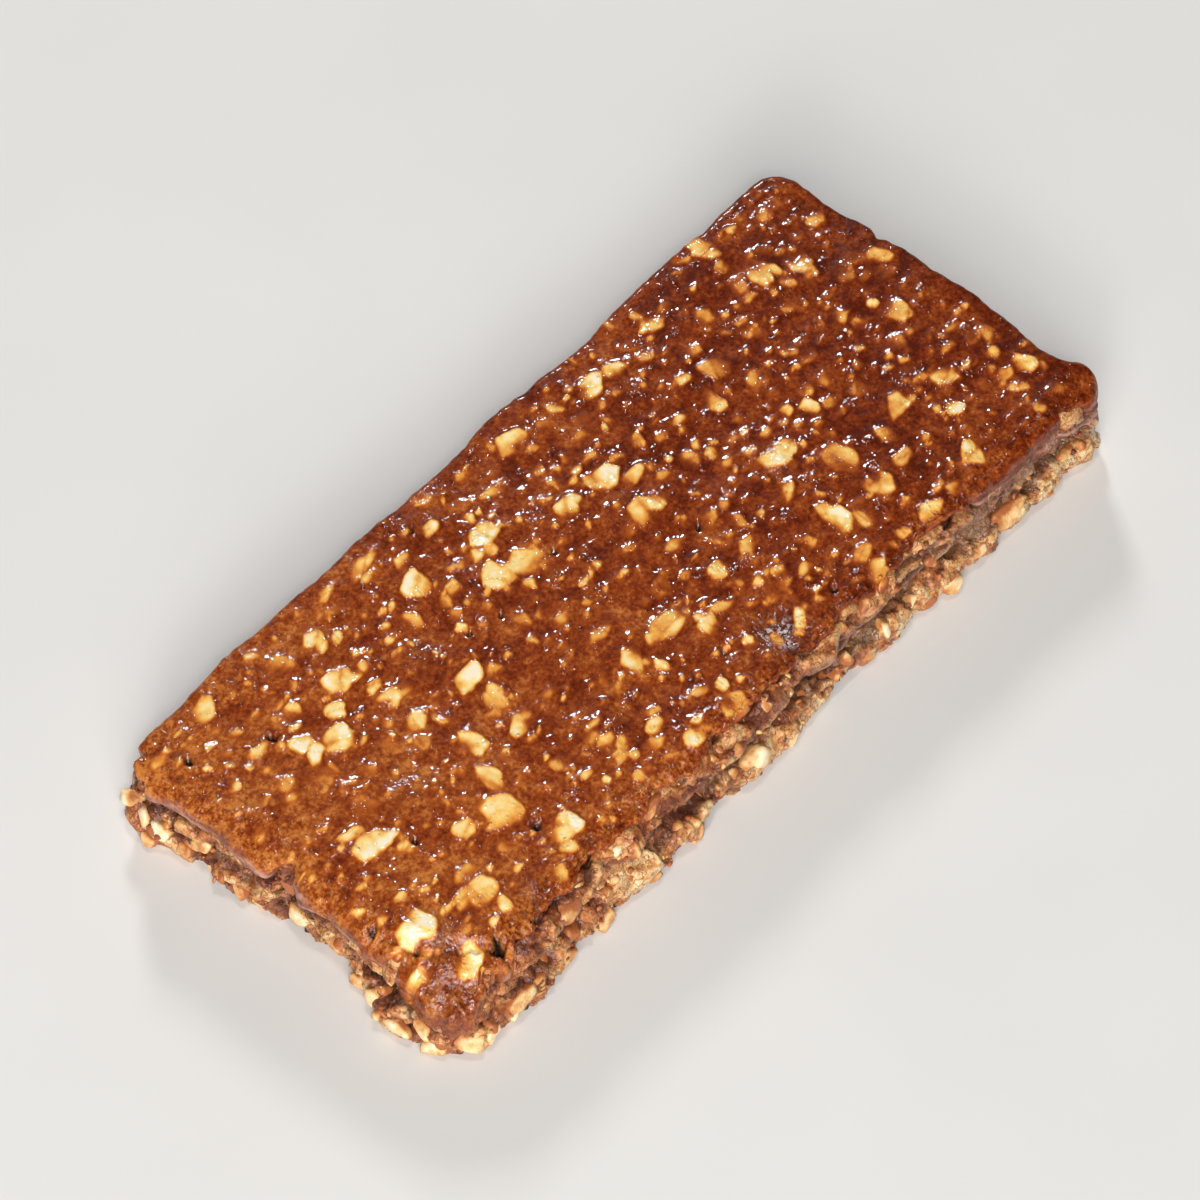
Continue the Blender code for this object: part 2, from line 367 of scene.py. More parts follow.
under = underside_rings(crumb_skin[-1])
crumb_points = np.concatenate([crumb_skin, under]) + np.array((*OUTLINE_CENTRE, 0.0))
rows = len(crumb_points)
cap = np.arange(CRUMB_COLUMNS)
pad = ((0, UNDERSIDE_ROWS), (0, 0))
crumb = make_piece(
    "crumb",
    crumb_points.reshape(-1, 3),
    [ring_faces(rows, CRUMB_COLUMNS), cap[None, :], (rows * CRUMB_COLUMNS - 1 - cap)[None, :]],
    recess=np.pad(recess, pad),
    tone=np.pad(tone, pad, mode="edge"),
    worn=np.pad(smooth_lip, pad),
    ledge=np.pad(smooth_step(5.4, 7.2, rings[..., 2]), pad),
)


def light_of(red, green, blue):
    """Linear colour of a display colour given in 0..255, by the sRGB curve."""
    shown_as = np.array((red, green, blue)) / 255
    linear = np.where(shown_as > 0.04045, ((shown_as + 0.055) / 1.055) ** 2.4, shown_as / 12.92)
    return (*linear, 1.0)


def new_finish(name):
    """An empty node material: its tree, its main shader and its object coordinates."""
    finish = bpy.data.materials.new(name)
    finish.use_nodes = True
    tree = finish.node_tree
    place = tree.nodes.new("ShaderNodeTexCoord").outputs["Object"]
    return finish, tree, tree.nodes["Principled BSDF"], place


def set_sockets(tree, node, sockets):
    """Sets each input of a node, by name or number: a value as it is, an output by a link."""
    for name, value in sockets.items():
        if isinstance(value, bpy.types.NodeSocket):
            tree.links.new(value, node.inputs[name])
        else:
            node.inputs[name].default_value = value


def speckle(tree, place, millimetres, detail=3.0, roughness=0.55):
    """Noise whose features are about that many millimetres across."""
    node = tree.nodes.new("ShaderNodeTexNoise")
    size = {"Vector": place, "Scale": 1 / (millimetres * MM), "Detail": detail, "Roughness": roughness}
    set_sockets(tree, node, size)
    return node.outputs["Fac"]


def stretched_place(tree, place):
    """Coordinates in which patterns come out four times longer along the ground than up."""
    node = tree.nodes.new("ShaderNodeVectorMath")
    node.operation = "MULTIPLY"
    set_sockets(tree, node, {0: place, 1: (0.3, 0.3, 1.2)})
    return node.outputs[0]


def worked(tree, operation, first, second=0.0, third=0.0):
    """The result of a Math node."""
    node = tree.nodes.new("ShaderNodeMath")
    node.operation = operation
    set_sockets(tree, node, {0: first, 1: second, 2: third})
    return node.outputs[0]


def clamped(tree, amount, least=0.0, most=1.0):
    """A number held between two bounds."""
    return worked(tree, "MAXIMUM", worked(tree, "MINIMUM", amount, most), least)


def along_bar(tree, place):
    """Where along the bar a place is, from -1 at one end to 1 at the other."""
    node = tree.nodes.new("ShaderNodeSeparateXYZ")
    tree.links.new(place, node.inputs[0])
    return worked(tree, "DIVIDE", node.outputs["X"], LENGTH / 2 * MM)


def ramped(tree, amount, *stops):
    """A colour ramp: each stop is a place and a display colour."""
    node = tree.nodes.new("ShaderNodeValToRGB")
    ramp = node.color_ramp
    while len(ramp.elements) < len(stops):
        ramp.elements.new(0.5)
    for element, (place, colour) in zip(ramp.elements, stops):
        element.position = place
        element.color = light_of(*colour)
    set_sockets(tree, node, {"Fac": amount})
    return node.outputs["Color"]


def mixed(tree, amount, first, second, blend="MIX"):
    """Two colours mixed by an amount."""
    node = tree.nodes.new("ShaderNodeMix")
    node.data_type = "RGBA"
    node.blend_type = blend
    tree.links.new(amount, node.inputs[0]) if isinstance(amount, bpy.types.NodeSocket) else None
    for socket, colour in ((node.inputs[6], first), (node.inputs[7], second)):
        if isinstance(colour, bpy.types.NodeSocket):
            tree.links.new(colour, socket)
        else:
            socket.default_value = light_of(*colour)
    return node.outputs[2]


def field(tree, name):
    """A number kept at each point of the mesh."""
    node = tree.nodes.new("ShaderNodeAttribute")
    node.attribute_name = name
    return node.outputs["Fac"]


def bumped(tree, height, millimetres, below=None):
    """A bump of that height in millimetres, on top of another bump."""
    node = tree.nodes.new("ShaderNodeBump")
    set_sockets(tree, node, {"Height": height, "Distance": millimetres * MM, "Strength": 1.0})
    if below:
        set_sockets(tree, node, {"Normal": below})
    return node.outputs["Normal"]


def crumb_finish():
    """Torn red-brown paste full of gold and tan grains: colour by chunk, painted shade in recesses and along tears, a
    painted mauve sheen on the worn lip, and painted lightening toward the +x end.
    """
    finish, tree, shader, place = new_finish("granola crumb")
    grit = speckle(tree, place, 0.45, 4.0, 0.65)
    mottle = speckle(tree, place, 1.5, 3.0)
    grain = worked(tree, "MULTIPLY_ADD", grit, 0.55, worked(tree, "MULTIPLY", field(tree, "tone"), 0.5))
    grain = worked(tree, "MULTIPLY_ADD", mottle, 0.95, worked(tree, "SUBTRACT", grain, 0.43))
    # Painted light: the colour gets lighter toward the +x end, making up for the front lamp falling weaker on that
    # side.
    grain = worked(tree, "MULTIPLY_ADD", along_bar(tree, place), 0.06, worked(tree, "ADD", grain, 0.022))
    colour = ramped(
        tree, grain,
        (0.24, (98, 42, 24)), (0.40, (154, 82, 46)), (0.56, (200, 126, 72)),
        (0.70, (230, 170, 106)), (0.86, (248, 214, 162)),
    )
    syrupy = ramped(
        tree, grain,
        (0.26, (86, 30, 10)), (0.42, (132, 60, 24)), (0.58, (176, 98, 48)), (0.74, (220, 150, 84)),
    )
    colour = mixed(tree, worked(tree, "MULTIPLY", field(tree, "ledge"), 0.65), colour, syrupy)
    # Painted sheen: pale mauve streaks on the smooth worn lip stand in for the reflection of its glossy surface.
    worn = worked(tree, "MULTIPLY", field(tree, "worn"), 0.85)
    streaks = speckle(tree, stretched_place(tree, place), 1.0, 3.0)
    painted_lip_sheen = ramped(tree, streaks, (0.36, (90, 50, 38)), (0.52, (150, 98, 78)), (0.68, (188, 146, 130)))
    colour = mixed(tree, worn, colour, painted_lip_sheen)
    # Painted shade: recesses are tinted mauve-brown and multiplied darker.
    recess = field(tree, "recess")
    recess_shade_tint = clamped(tree, worked(tree, "MULTIPLY", recess, 1.5), 0.0, 0.62)
    colour = mixed(tree, recess_shade_tint, colour, (130, 76, 56))
    shade = ramped(tree, recess, (0.2, (255, 255, 255)), (0.5, (180, 142, 130)), (0.88, (68, 40, 36)))
    colour = mixed(tree, 1.0, colour, shade, "MULTIPLY")
    # Painted shade: thin dark lines along the tears, whose dents exist only in the bump.
    middle = worked(tree, "ABSOLUTE", worked(tree, "SUBTRACT", speckle(tree, place, 1.0, 3.0, 0.6), 0.5))
    tear = clamped(tree, worked(tree, "MULTIPLY_ADD", middle, -32.0, 1.0))
    colour = mixed(tree, worked(tree, "MULTIPLY", tear, 0.4), colour, (66, 34, 24))
    rise = bumped(tree, mottle, 0.35)
    rise = bumped(tree, grit, 0.14, rise)
    rise = bumped(tree, worked(tree, "SUBTRACT", 1.0, tear), 0.1, rise)
    settings = {
        "Base Color": colour, "Roughness": worked(tree, "MULTIPLY_ADD", grit, 0.3, 0.3), "Normal": rise,
        "Coat Weight": 0.9, "Coat Roughness": 0.1, "Coat Normal": rise, "IOR": 1.45, "Specular IOR Level": 0.2,
        "Subsurface Weight": 0.15, "Subsurface Radius": (1.0, 0.45, 0.2), "Subsurface Scale": 0.6 * MM,
    }
    set_sockets(tree, shader, settings)
    return finish


crumb.data.materials.append(crumb_finish())
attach(crumb, "root")
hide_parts("bar")


# ---------------------------------------------------------------------------
# The skin. Syrup paste pressed flat and left to set makes a glossy brown top that rolls over into a
# thin lip. Along one long side it has broken back to a ragged edge, and one corner is cracked off.
# It swells a little over each chopped nut and glows orange where one lies just under it.
# ---------------------------------------------------------------------------
LIP_DEPTH = 1.2
WORN_LIP_DEPTH = 0.9
SKIN_WAVES = (
    (0.08, 2.2, 1.3, 0.9), (0.08, 1.7, -1.9, 2.9), (0.05, 4.3, 2.2, 5.1),
    (0.05, 3.9, -2.8, 1.3), (0.04, 8.1, 3.7, 2.7), (0.04, 6.9, -4.9, 0.2),
)
SKIN_SPOTS = (
    (4.6, -16.4, 2.8, -0.9), (-22.0, -16.0, 4.0, -0.20), (-42.5, -1.5, 2.4, 0.18), (-29.5, -9.5, 2.4, 0.20),
    (-14.5, 14.5, 2.6, 0.18), (20.8, -2.6, 2.0, 0.15), (47.0, 12.0, 3.0, -0.25), (36.5, -8.5, 3.0, -0.20),
)
# Edge of the skin, from the top's rim over and under to its hidden flat back: inset, level
BROKEN_EDGE = (
    (2.1, 10.0), (1.85, 9.93), (1.72, 9.75), (1.68, 9.5), (1.75, 9.25), (2.0, 9.05), (2.5, 8.9), (3.2, 8.6),
    (4.2, 8.0), (5.6, 7.2), (7.0, 6.8),
)
ROLLED_EDGE = (
    (1.2, 10.0), (0.85, 9.8), (0.5, 9.45), (0.22, 9.0), (0.08, 8.5), (0.1, 8.0), (0.3, 7.6), (0.75, 7.4),
    (1.5, 7.5), (3.6, 7.4), (7.0, 6.8),
)
CRISP_EDGE = (
    (1.2, 10.0), (0.6, 9.97), (0.22, 9.8), (0.06, 9.4), (0.0, 8.7), (0.0, 8.0), (0.25, 7.55), (0.75, 7.35),
    (1.5, 7.5), (3.6, 7.4), (7.0, 6.8),
)
# How far in from the side the skin starts to round off, and how far it has dropped at its rim, on the
# two sides that were trimmed first and on the other two
SHOULDER_REACH = 4.4
SHOULDER_DROPS = (0.65, 0.12)
SKIN_SPANS = (360, 160)
SKIN_EDGE_ROWS = 26
RIM_FADE = 12

# Nuts seen through or standing out of the skin: x, y, length, width. Bare and pale ones stand highest.
CREAM_NUTS = (
    (-28.2, 12.3, 3.4, 2.6), (-31.1, 10.2, 2.0, 1.9), (-33.4, 7.8, 2.8, 3.2), (-35.8, 8.1, 2.2, 1.4),
    (-36.2, 10.1, 2.6, 1.8), (-26.5, 9.2, 1.9, 1.4), (-40.4, -3.0, 4.2, 2.4), (-29.3, -10.1, 3.8, 4.0),
    (-44.1, -12.4, 3.2, 3.8), (-19.6, 2.8, 3.6, 2.6), (-14.7, 14.2, 3.2, 3.0), (-8.8, 17.8, 2.2, 1.6),
    (-5.8, 13.4, 2.8, 2.4), (-8.6, 8.7, 2.8, 3.2), (7.5, 8.9, 2.6, 2.8), (-2.2, -7.7, 4.6, 2.6),
    (-16.9, -14.4, 1.6, 1.4), (-11.8, -14.7, 2.2, 1.4), (-8.5, -17.2, 1.8, 1.2), (15.0, 17.4, 3.2, 2.0),
    (20.8, -2.4, 3.6, 3.0), (18.9, -12.6, 2.4, 3.6), (25.9, -18.6, 2.8, 1.8), (-43.4, -18.2, 3.4, 2.4),
    (-26.1, -15.8, 3.2, 2.6), (-26.2, 17.3, 2.2, 1.8), (-26.6, 16.0, 1.6, 1.0), (-24.4, 15.7, 1.2, 1.2),
    (9.6, 6.7, 2.4, 1.6), (2.2, 9.1, 2.8, 2.4), (-36.9, -17.2, 1.2, 2.2), (37.5, -12.0, 1.8, 1.6),
    (34.0, -17.2, 2.8, 2.4),
)
GOLDEN_NUTS = (
    (-39.4, 19.8, 3.2, 2.2), (-39.4, 12.3, 2.4, 1.4), (-25.2, 6.9, 3.8, 1.6), (-26.7, 3.2, 2.4, 2.0),
    (-19.7, -0.8, 2.3, 3.0), (-25.0, -2.4, 2.4, 3.0), (-20.2, -4.7, 3.0, 2.0), (-40.7, -1.0, 2.6, 1.4),
    (-32.9, -8.7, 2.6, 2.2), (-27.1, -6.9, 2.0, 3.8), (-27.9, -17.2, 1.6, 2.6), (-30.7, -18.8, 2.0, 1.6),
    (-39.3, -17.7, 1.6, 1.0), (-16.7, 19.6, 3.6, 1.4), (-5.3, 7.7, 3.8, 2.8), (-6.8, 11.4, 2.0, 1.2),
    (-6.1, 20.6, 2.2, 1.2), (4.9, 18.9, 3.2, 2.8), (7.2, 2.8, 3.6, 3.0), (6.7, -7.3, 2.4, 2.2),
    (3.5, -10.5, 2.8, 1.2), (-6.1, -10.6, 1.4, 1.8), (-10.0, -18.4, 2.4, 2.0), (7.4, -17.2, 1.6, 2.2),
    (18.4, 16.7, 2.4, 1.6), (25.2, 18.0, 2.8, 2.0), (37.9, 14.2, 2.6, 3.6), (41.5, 11.7, 3.2, 3.6),
    (22.2, 11.0, 1.5, 1.5), (25.4, 9.4, 3.4, 2.8), (47.4, 6.2, 2.6, 2.0), (17.1, 2.6, 1.4, 1.8),
    (27.9, -1.1, 2.0, 2.2), (17.9, -6.2, 2.8, 1.2), (40.0, -8.8, 2.4, 2.0), (29.0, -12.0, 2.8, 1.4),
    (46.5, -13.8, 2.0, 2.4), (43.9, -15.2, 1.7, 1.7), (43.2, -18.4, 1.6, 1.6), (36.1, 20.0, 2.4, 2.4),
    (-37.5, -14.9, 3.6, 3.0), (-47.0, -15.9, 1.8, 1.6), (17.6, -16.6, 2.8, 1.6), (47.1, 14.2, 2.0, 1.8),
    (43.0, 0.5, 2.6, 3.0), (-7.2, -7.7, 2.0, 3.2), (0.8, -10.9, 2.2, 2.6), (33.7, -7.6, 3.6, 2.0),
)
AMBER_NUTS = (
    (-30.7, 17.4, 3.0, 2.0), (-33.9, 13.0, 2.0, 1.8), (-40.7, 8.2, 2.0, 2.0), (-43.9, 11.4, 1.3, 1.3),
    (-21.5, 20.2, 2.0, 1.5), (-36.8, -12.2, 2.6, 1.6), (-0.6, 16.0, 3.6, 1.8), (-17.1, 18.1, 2.0, 1.4),
    (-12.4, 10.9, 1.8, 2.0), (-14.2, 10.6, 1.4, 1.4), (-3.3, 12.7, 1.8, 1.6), (12.9, 9.5, 1.8, 1.8),
    (3.9, 12.0, 1.4, 1.8), (-4.7, -18.6, 2.4, 2.2), (10.0, -11.9, 1.6, 1.6), (14.6, -11.9, 1.6, 1.6),
    (22.1, 15.9, 2.0, 1.6), (25.4, 19.9, 1.6, 1.4), (35.8, 17.3, 2.0, 1.8), (38.6, 11.0, 1.2, 2.0),
    (21.9, 7.0, 2.4, 2.8), (25.1, -7.9, 2.6, 4.0), (20.9, -14.1, 2.0, 2.6), (25.1, -12.6, 2.4, 3.2),
    (30.4, -9.1, 1.6, 2.0), (47.2, -8.1, 1.8, 2.6), (16.5, -18.8, 3.0, 2.0), (9.0, -4.7, 1.0, 2.0),
    (12.2, -4.5, 1.0, 2.0), (38.6, 4.2, 2.4, 1.6), (-31.2, 20.8, 2.0, 1.4), (-15.4, -13.7, 1.8, 1.4),
)
DEEP_NUTS = (
    (-43.3, 8.5, 2.2, 2.0), (-37.3, 5.9, 2.4, 2.6), (-37.6, 0.1, 2.8, 2.4), (-31.8, -13.0, 2.0, 1.6),
    (-28.9, -3.1, 1.5, 1.5), (-41.8, -15.8, 2.4, 2.0), (-24.6, 1.7, 1.5, 1.5), (8.7, 17.3, 2.2, 2.4),
    (-6.7, -3.0, 3.2, 1.6), (1.1, -4.4, 2.4, 2.2), (27.6, 5.2, 3.0, 2.2), (43.0, 7.6, 2.4, 2.8),
    (32.6, 3.4, 2.4, 2.0), (3.9, 2.8, 2.0, 1.8), (7.1, 13.4, 1.5, 1.5), (-24.5, 20.6, 1.6, 1.4),
    (31.9, 8.8, 1.3, 1.3), (19.7, 2.8, 1.8, 1.6), (40.1, 9.4, 1.4, 1.4), (33.4, 20.6, 2.0, 1.4),
)
# Kinds of nut in the skin: the listed ones, how many small ones are scattered, their least and most
# length, how far their middle stands out of the skin, and how clearly they show through it
NUT_KINDS = (
    ("cream", CREAM_NUTS, 18, 0.7, 1.3, 0.13, 1.0),
    ("golden", GOLDEN_NUTS, 110, 0.6, 1.7, 0.05, 0.86),
    ("amber", AMBER_NUTS, 190, 0.7, 2.1, -0.04, 0.66),
    ("deep", DEEP_NUTS, 320, 0.8, 2.8, -0.2, 0.55),
)
NUT_SIDES = 6
NUT_ROUNDING = 13
NUT_LIFT = 0.17
GROOVE_WIDTH = 0.13

# Small holes in the skin, dented and painted black with shade: x, y, radius
PITS = (
    (-28.3, -13.6, 0.45), (-37.3, -6.1, 0.45), (-37.3, 12.6, 0.4), (-11.7, 5.5, 0.4), (-15.6, 6.3, 0.35),
    (-2.5, 6.9, 0.45), (9.3, -2.2, 0.4), (12.4, -17.2, 0.5), (-0.7, -14.0, 0.4), (-10.0, 19.1, 0.4),
    (-44.5, 16.9, 0.5), (-47.0, -9.6, 0.5), (-40.5, -19.6, 0.8),
)
# Where the skin has dried into wet-looking wrinkles: x, y, reach
WRINKLED_SPOTS = (
    (4.6, -16.4, 3.0), (4.9, -16.6, 3.0), (37.5, -6.5, 2.2), (-33.0, -1.0, 1.8), (-20.5, 8.5, 1.6), (-15.0, -12.0, 2.0),
    (-43.0, -15.0, 2.5), (-46.8, -19.2, 4.2), (-34.0, -18.0, 2.0), (31.0, 12.0, 1.8), (18.0, 14.0, 1.5),
)
# The crack that frees the corner, point by point: x, y
CRACK = (
    (-48.4, -9.2), (-47.0, -10.9), (-45.8, -14.5), (-43.3, -16.8), (-40.5, -19.8), (-37.1, -21.2), (-33.0, -21.2),
)


def facet_reach(directions, planes, distances, rounding=NUT_ROUNDING):
    """Distance from a stone's middle to its surface along each direction.

    The stone is cut by planes, each at its own distance; summing the high powers of how steeply the
    direction meets each plane rounds the edges between them.
    """
    meets = np.maximum(np.einsum("...mk,...pk->...mp", directions, planes), 0.0) / distances[..., None, :]
    return np.sum(meets**rounding, axis=-1) ** (-1.0 / rounding)


def place_skin_nuts():
    """Arrays that describe every nut in the skin: the listed ones, a lobe beside most of the larger ones,
    and scattered small ones kept clear of them."""
    rng = np.random.default_rng(7)
    rows = []
    for kind, (_, placed, more, least, most, _, _) in enumerate(NUT_KINDS):
        for x, y, length, width in placed:
            rows.append((x, y, length, width, kind))
            if length * width > 4.5 and rng.random() < 0.7:
                way = rng.uniform(0, 2 * np.pi)
                share = rng.uniform(0.5, 0.75)
                rows.append((
                    x + 0.4 * length * np.cos(way), y + 0.4 * width * np.sin(way),
                    share * length, share * width, min(kind + rng.integers(0, 2), 3),
                ))
    for kind, (_, _, more, least, most, _, _) in enumerate(NUT_KINDS):
        found = 0
        while found < more:
            x = rng.uniform(-47.5, 48.0)
            y = rng.uniform(-18.6, 20.8)
            length = least + (most - least) * rng.random() ** 1.6
            width = length * rng.uniform(0.45, 1.0)
            taken = np.array(rows)
            room = 0.5 * (taken[:, 2] + length) * (0.95 if kind < 3 else 0.75)
            thinned = kind < 3 and rng.random() < 0.45 * (x + 48) / 96
            if np.all(np.hypot(taken[:, 0] - x, taken[:, 1] - y) > room) and not thinned:
                rows.append((x, y, length, width, kind))
                found += 1
    table = np.array(rows)
    count = len(table)
    around = (np.arange(NUT_SIDES) + rng.uniform(-0.32, 0.32, (count, NUT_SIDES))) * 2 * np.pi / NUT_SIDES
    around = around + rng.uniform(0, 2 * np.pi, (count, 1))
    lean = rng.uniform(0.05, 0.45, (count, NUT_SIDES))
    sides = np.stack([np.cos(around), np.sin(around), lean], axis=-1)
    tops = np.concatenate([rng.normal(0, 0.16, (count, 1, 2)), np.ones((count, 1, 1))], axis=-1)
    planes = np.concatenate([sides, tops, tops * (1, 1, -1)], axis=1)
    planes /= np.linalg.norm(planes, axis=-1, keepdims=True)
    distances = np.concatenate([rng.uniform(0.6, 1.0, (count, NUT_SIDES)), np.full((count, 2), 0.8)], axis=1)
    stand_out = np.array([kind[5] for kind in NUT_KINDS])[table[:, 4].astype(int)]
    groove_way = rng.uniform(0, np.pi, count)
    return {
        "place": table[:, :2], "half": table[:, 2:4] / 2 * 1.18, "kind": table[:, 4].astype(int),
        "turn": rng.uniform(-0.5, 0.5, count), "planes": planes, "distances": distances,
        "rise": stand_out + rng.uniform(-0.06, 0.06, count), "shade": rng.random(count),
        "tilt": rng.normal(0, 1, (count, 2)).clip(-1.8, 1.8) * (NUT_LIFT / table[:, 2:4].mean(axis=1) * 2)[:, None],
        "groove": np.stack([np.cos(groove_way), np.sin(groove_way), rng.uniform(-0.35, 0.35, count)], axis=-1),
        "split": 0.7 * (rng.random(count) < 0.6),
    }


skin_nuts = place_skin_nuts()


def nut_groove(along, across, groove, split):
    """The groove between a nut's two halves, 1 along a line across its face: the bell of the distance to it."""
    return split * np.exp(-(((along * groove[..., 0] + across * groove[..., 1] - groove[..., 2]) / GROOVE_WIDTH) ** 2))


def round_corner(x, y):
    """Turns the square corners of a rectangle into arcs, keeping nested squares nested.

    Also gives the unit direction straight out of the nearest side.
    """
    side_x = np.where(x > 0, 1, -1)
    side_y = np.where(y > 0, 1, -1)
    radius = np.zeros_like(x)
    for (corner_x, corner_y), size in CORNER_RADII.items():
        radius = np.where((side_x == corner_x) & (side_y == corner_y), size, radius)
    past_x = np.maximum(np.abs(x) - (LENGTH / 2 - radius), 0.0)
    past_y = np.maximum(np.abs(y) - (WIDTH / 2 - radius), 0.0)
    reach = np.maximum(np.hypot(past_x, past_y), 1e-9)
    shrink = np.where((past_x > 0) & (past_y > 0), np.maximum(past_x, past_y) / reach, 1.0)
    round_x = np.where(past_x > 0, side_x * (LENGTH / 2 - radius + past_x * shrink), x)
    round_y = np.where(past_y > 0, side_y * (WIDTH / 2 - radius + past_y * shrink), y)
    return round_x, round_y, side_x * past_x / reach, side_y * past_y / reach


def skin_swell(x, y):
    """How far the skin lies above the bar's plain thickness: slow waves, hollows and swells, finer lumps."""
    place = np.stack([x, y, np.zeros_like(x)], axis=-1)
    spots = sum(rise * bell(x, y, px, py, reach) for px, py, reach, rise in SKIN_SPOTS)
    fine = 0.10 * lumps(place, 4.0, 71) + 0.05 * lumps(place, 1.7, 72) + 0.025 * lumps(place, 0.8, 73)
    return waves(SKIN_WAVES, x, y) + spots + fine


def round_nuts(x, y):
    """How the nuts show in the skin at each place: the glow, and the lift over and round them.

    A nut's upper face is a tilted plane inside its own faceted outline. The deeper it lies under the
    skin the less it glows, and where it stands out the skin climbs half its height round it.
    """
    place = np.stack([x, y, np.zeros_like(x)], axis=-1)
    bent_x = 0.16 * lumps(place, 0.9, 88)
    bent_y = 0.16 * lumps(place, 0.9, 89)
    glow = np.zeros_like(x)
    lift = np.zeros_like(x)
    for index, (centre_x, centre_y) in enumerate(skin_nuts["place"]):
        half = skin_nuts["half"][index]
        near = np.hypot(x - centre_x, y - centre_y) < half.max() + 1.5
        dx, dy = x[near] + bent_x[near] - centre_x, y[near] + bent_y[near] - centre_y
        cos, sin = np.cos(skin_nuts["turn"][index]), np.sin(skin_nuts["turn"][index])
        local = np.stack([(dx * cos + dy * sin) / half[0], (dy * cos - dx * sin) / half[1], 0 * dx], axis=-1)
        far = np.maximum(np.linalg.norm(local, axis=-1), 1e-6)
        edge = facet_reach(local / far[:, None], skin_nuts["planes"][index], skin_nuts["distances"][index])
        gap = (far - edge) * half.min()
        slope = skin_nuts["tilt"][index] @ np.stack([dx, dy])
        crown = skin_nuts["rise"][index] + slope
        groove = nut_groove(local[:, 0], local[:, 1], skin_nuts["groove"][index], skin_nuts["split"][index])
        clear = NUT_KINDS[skin_nuts["kind"][index]][6] * (0.66 + 0.34 * skin_nuts["shade"][index])
        bared = crown + 1.2 * slope
        seen = clear * (np.exp(np.minimum(bared, 0) / 0.26) + 1.1 * np.clip(bared, 0, 0.5))
        seen = seen * smooth_step(0.3, -0.28, gap) * (1 - 0.5 * groove)
        glow[near] = np.maximum(glow[near], seen)
        climb = 0.7 * np.maximum(crown, 0) + 0.09 * np.exp(np.minimum(crown, 0) / 0.2)
        lift[near] = np.maximum(lift[near], climb * smooth_step(0.6, -0.2, gap))
    return glow, lift


def distance_to_line(x, y, line):
    """Distance from each place to the nearest point of a broken line."""
    best = np.full_like(x, 99.0)
    for (ax, ay), (bx, by) in zip(line[:-1], line[1:]):
        run_x, run_y = bx - ax, by - ay
        along = np.clip(((x - ax) * run_x + (y - ay) * run_y) / (run_x**2 + run_y**2), 0, 1)
        best = np.minimum(best, np.hypot(x - ax - along * run_x, y - ay - along * run_y))
    return best


def inset_of(x, y):
    """How far a place lies inside the plan outline, straight in from the nearest side or corner arc."""
    side_x, side_y = np.where(x > 0, 1, -1), np.where(y > 0, 1, -1)
    radius = np.zeros_like(x)
    for (corner_x, corner_y), size in CORNER_RADII.items():
        radius = np.where((side_x == corner_x) & (side_y == corner_y), size, radius)
    past_x = np.abs(x) - (LENGTH / 2 - radius)
    past_y = np.abs(y) - (WIDTH / 2 - radius)
    in_corner = (past_x > 0) & (past_y > 0)
    return np.where(in_corner, radius - np.hypot(past_x, past_y), radius - np.maximum(past_x, past_y))


def trimmed_first(x, y):
    """1 along the two sides that were trimmed first and so rolled over, 0 along the two crisp ones."""
    return smooth_step(-0.25, 0.25, -x / LENGTH - y / WIDTH)


def skin_level(x, y):
    """Level of the skin's top, its glow, the painted shade of its crack, holes and sunk grains, and its graininess, at
    a place of the finished bar.
    """
    form_x, form_y = x - OUTLINE_CENTRE[0], y - OUTLINE_CENTRE[1]
    inset = inset_of(form_x, form_y)
    shoulder = np.clip((SHOULDER_REACH - inset) / (SHOULDER_REACH - LIP_DEPTH), 0, 1.2) ** 2
    trimmed = trimmed_first(form_x, form_y)
    drop = SHOULDER_DROPS[1] + (SHOULDER_DROPS[0] - SHOULDER_DROPS[1]) * trimmed
    glow, lift = round_nuts(x, y)
    place = np.stack([x, y, np.zeros_like(x)], axis=-1)
    ragged_x = x + 0.6 * lumps(place, 1.6, 81) + 0.3 * lumps(place, 0.7, 86)
    ragged_y = y + 0.6 * lumps(place, 1.6, 82) + 0.3 * lumps(place, 0.7, 87)
    crack = np.exp(-((distance_to_line(ragged_x, ragged_y, CRACK) / 0.24) ** 2))
    gaping = smooth_step(-0.3, 0.15, lumps(place, 2.4, 94))
    hole = np.zeros_like(x)
    for pit_x, pit_y, radius in PITS:
        hole = np.maximum(hole, np.exp(-((np.hypot(ragged_x - pit_x, ragged_y - pit_y) / radius) ** 4)))
    grainy = smooth_step(7.0, 1.5, inset + 2.0 * lumps(place, 3.0, 83))
    grainy = grainy * (0.15 + 0.85 * trimmed)
    grains = 0.2 * lumps(place, 1.1, 84) + 0.13 * lumps(place, 0.55, 85)
    level = THICKNESS + skin_swell(form_x, form_y) + lift - (0.3 + 0.8 * gaping) * crack - 0.8 * hole
    level = level - drop * shoulder + grains * grainy
    # Painted shade: the crack, the pits and the low grains near the edge are also marked for near-black paint.
    sunk_grain_shade = 0.45 * grainy * smooth_step(-0.15, -0.5, lumps(place, 1.1, 84))
    level = np.where(level > THICKNESS, THICKNESS + 0.6 * np.tanh((level - THICKNESS) / 0.6), level)
    level = level - sag(form_x, form_y, level)
    slumped = smooth_step(0.4, 1.6, sag(form_x, form_y, THICKNESS + np.zeros_like(x)))
    level = level + slumped * (0.45 * lumps(place, 2.2, 74) + 0.2 * lumps(place, 1.1, 75))
    glow = glow * (1 - 0.35 * slumped)
    return level, glow, np.clip(crack * (0.4 + gaping) + hole + sunk_grain_shade, 0, 1), grainy * (1 - 0.8 * slumped)


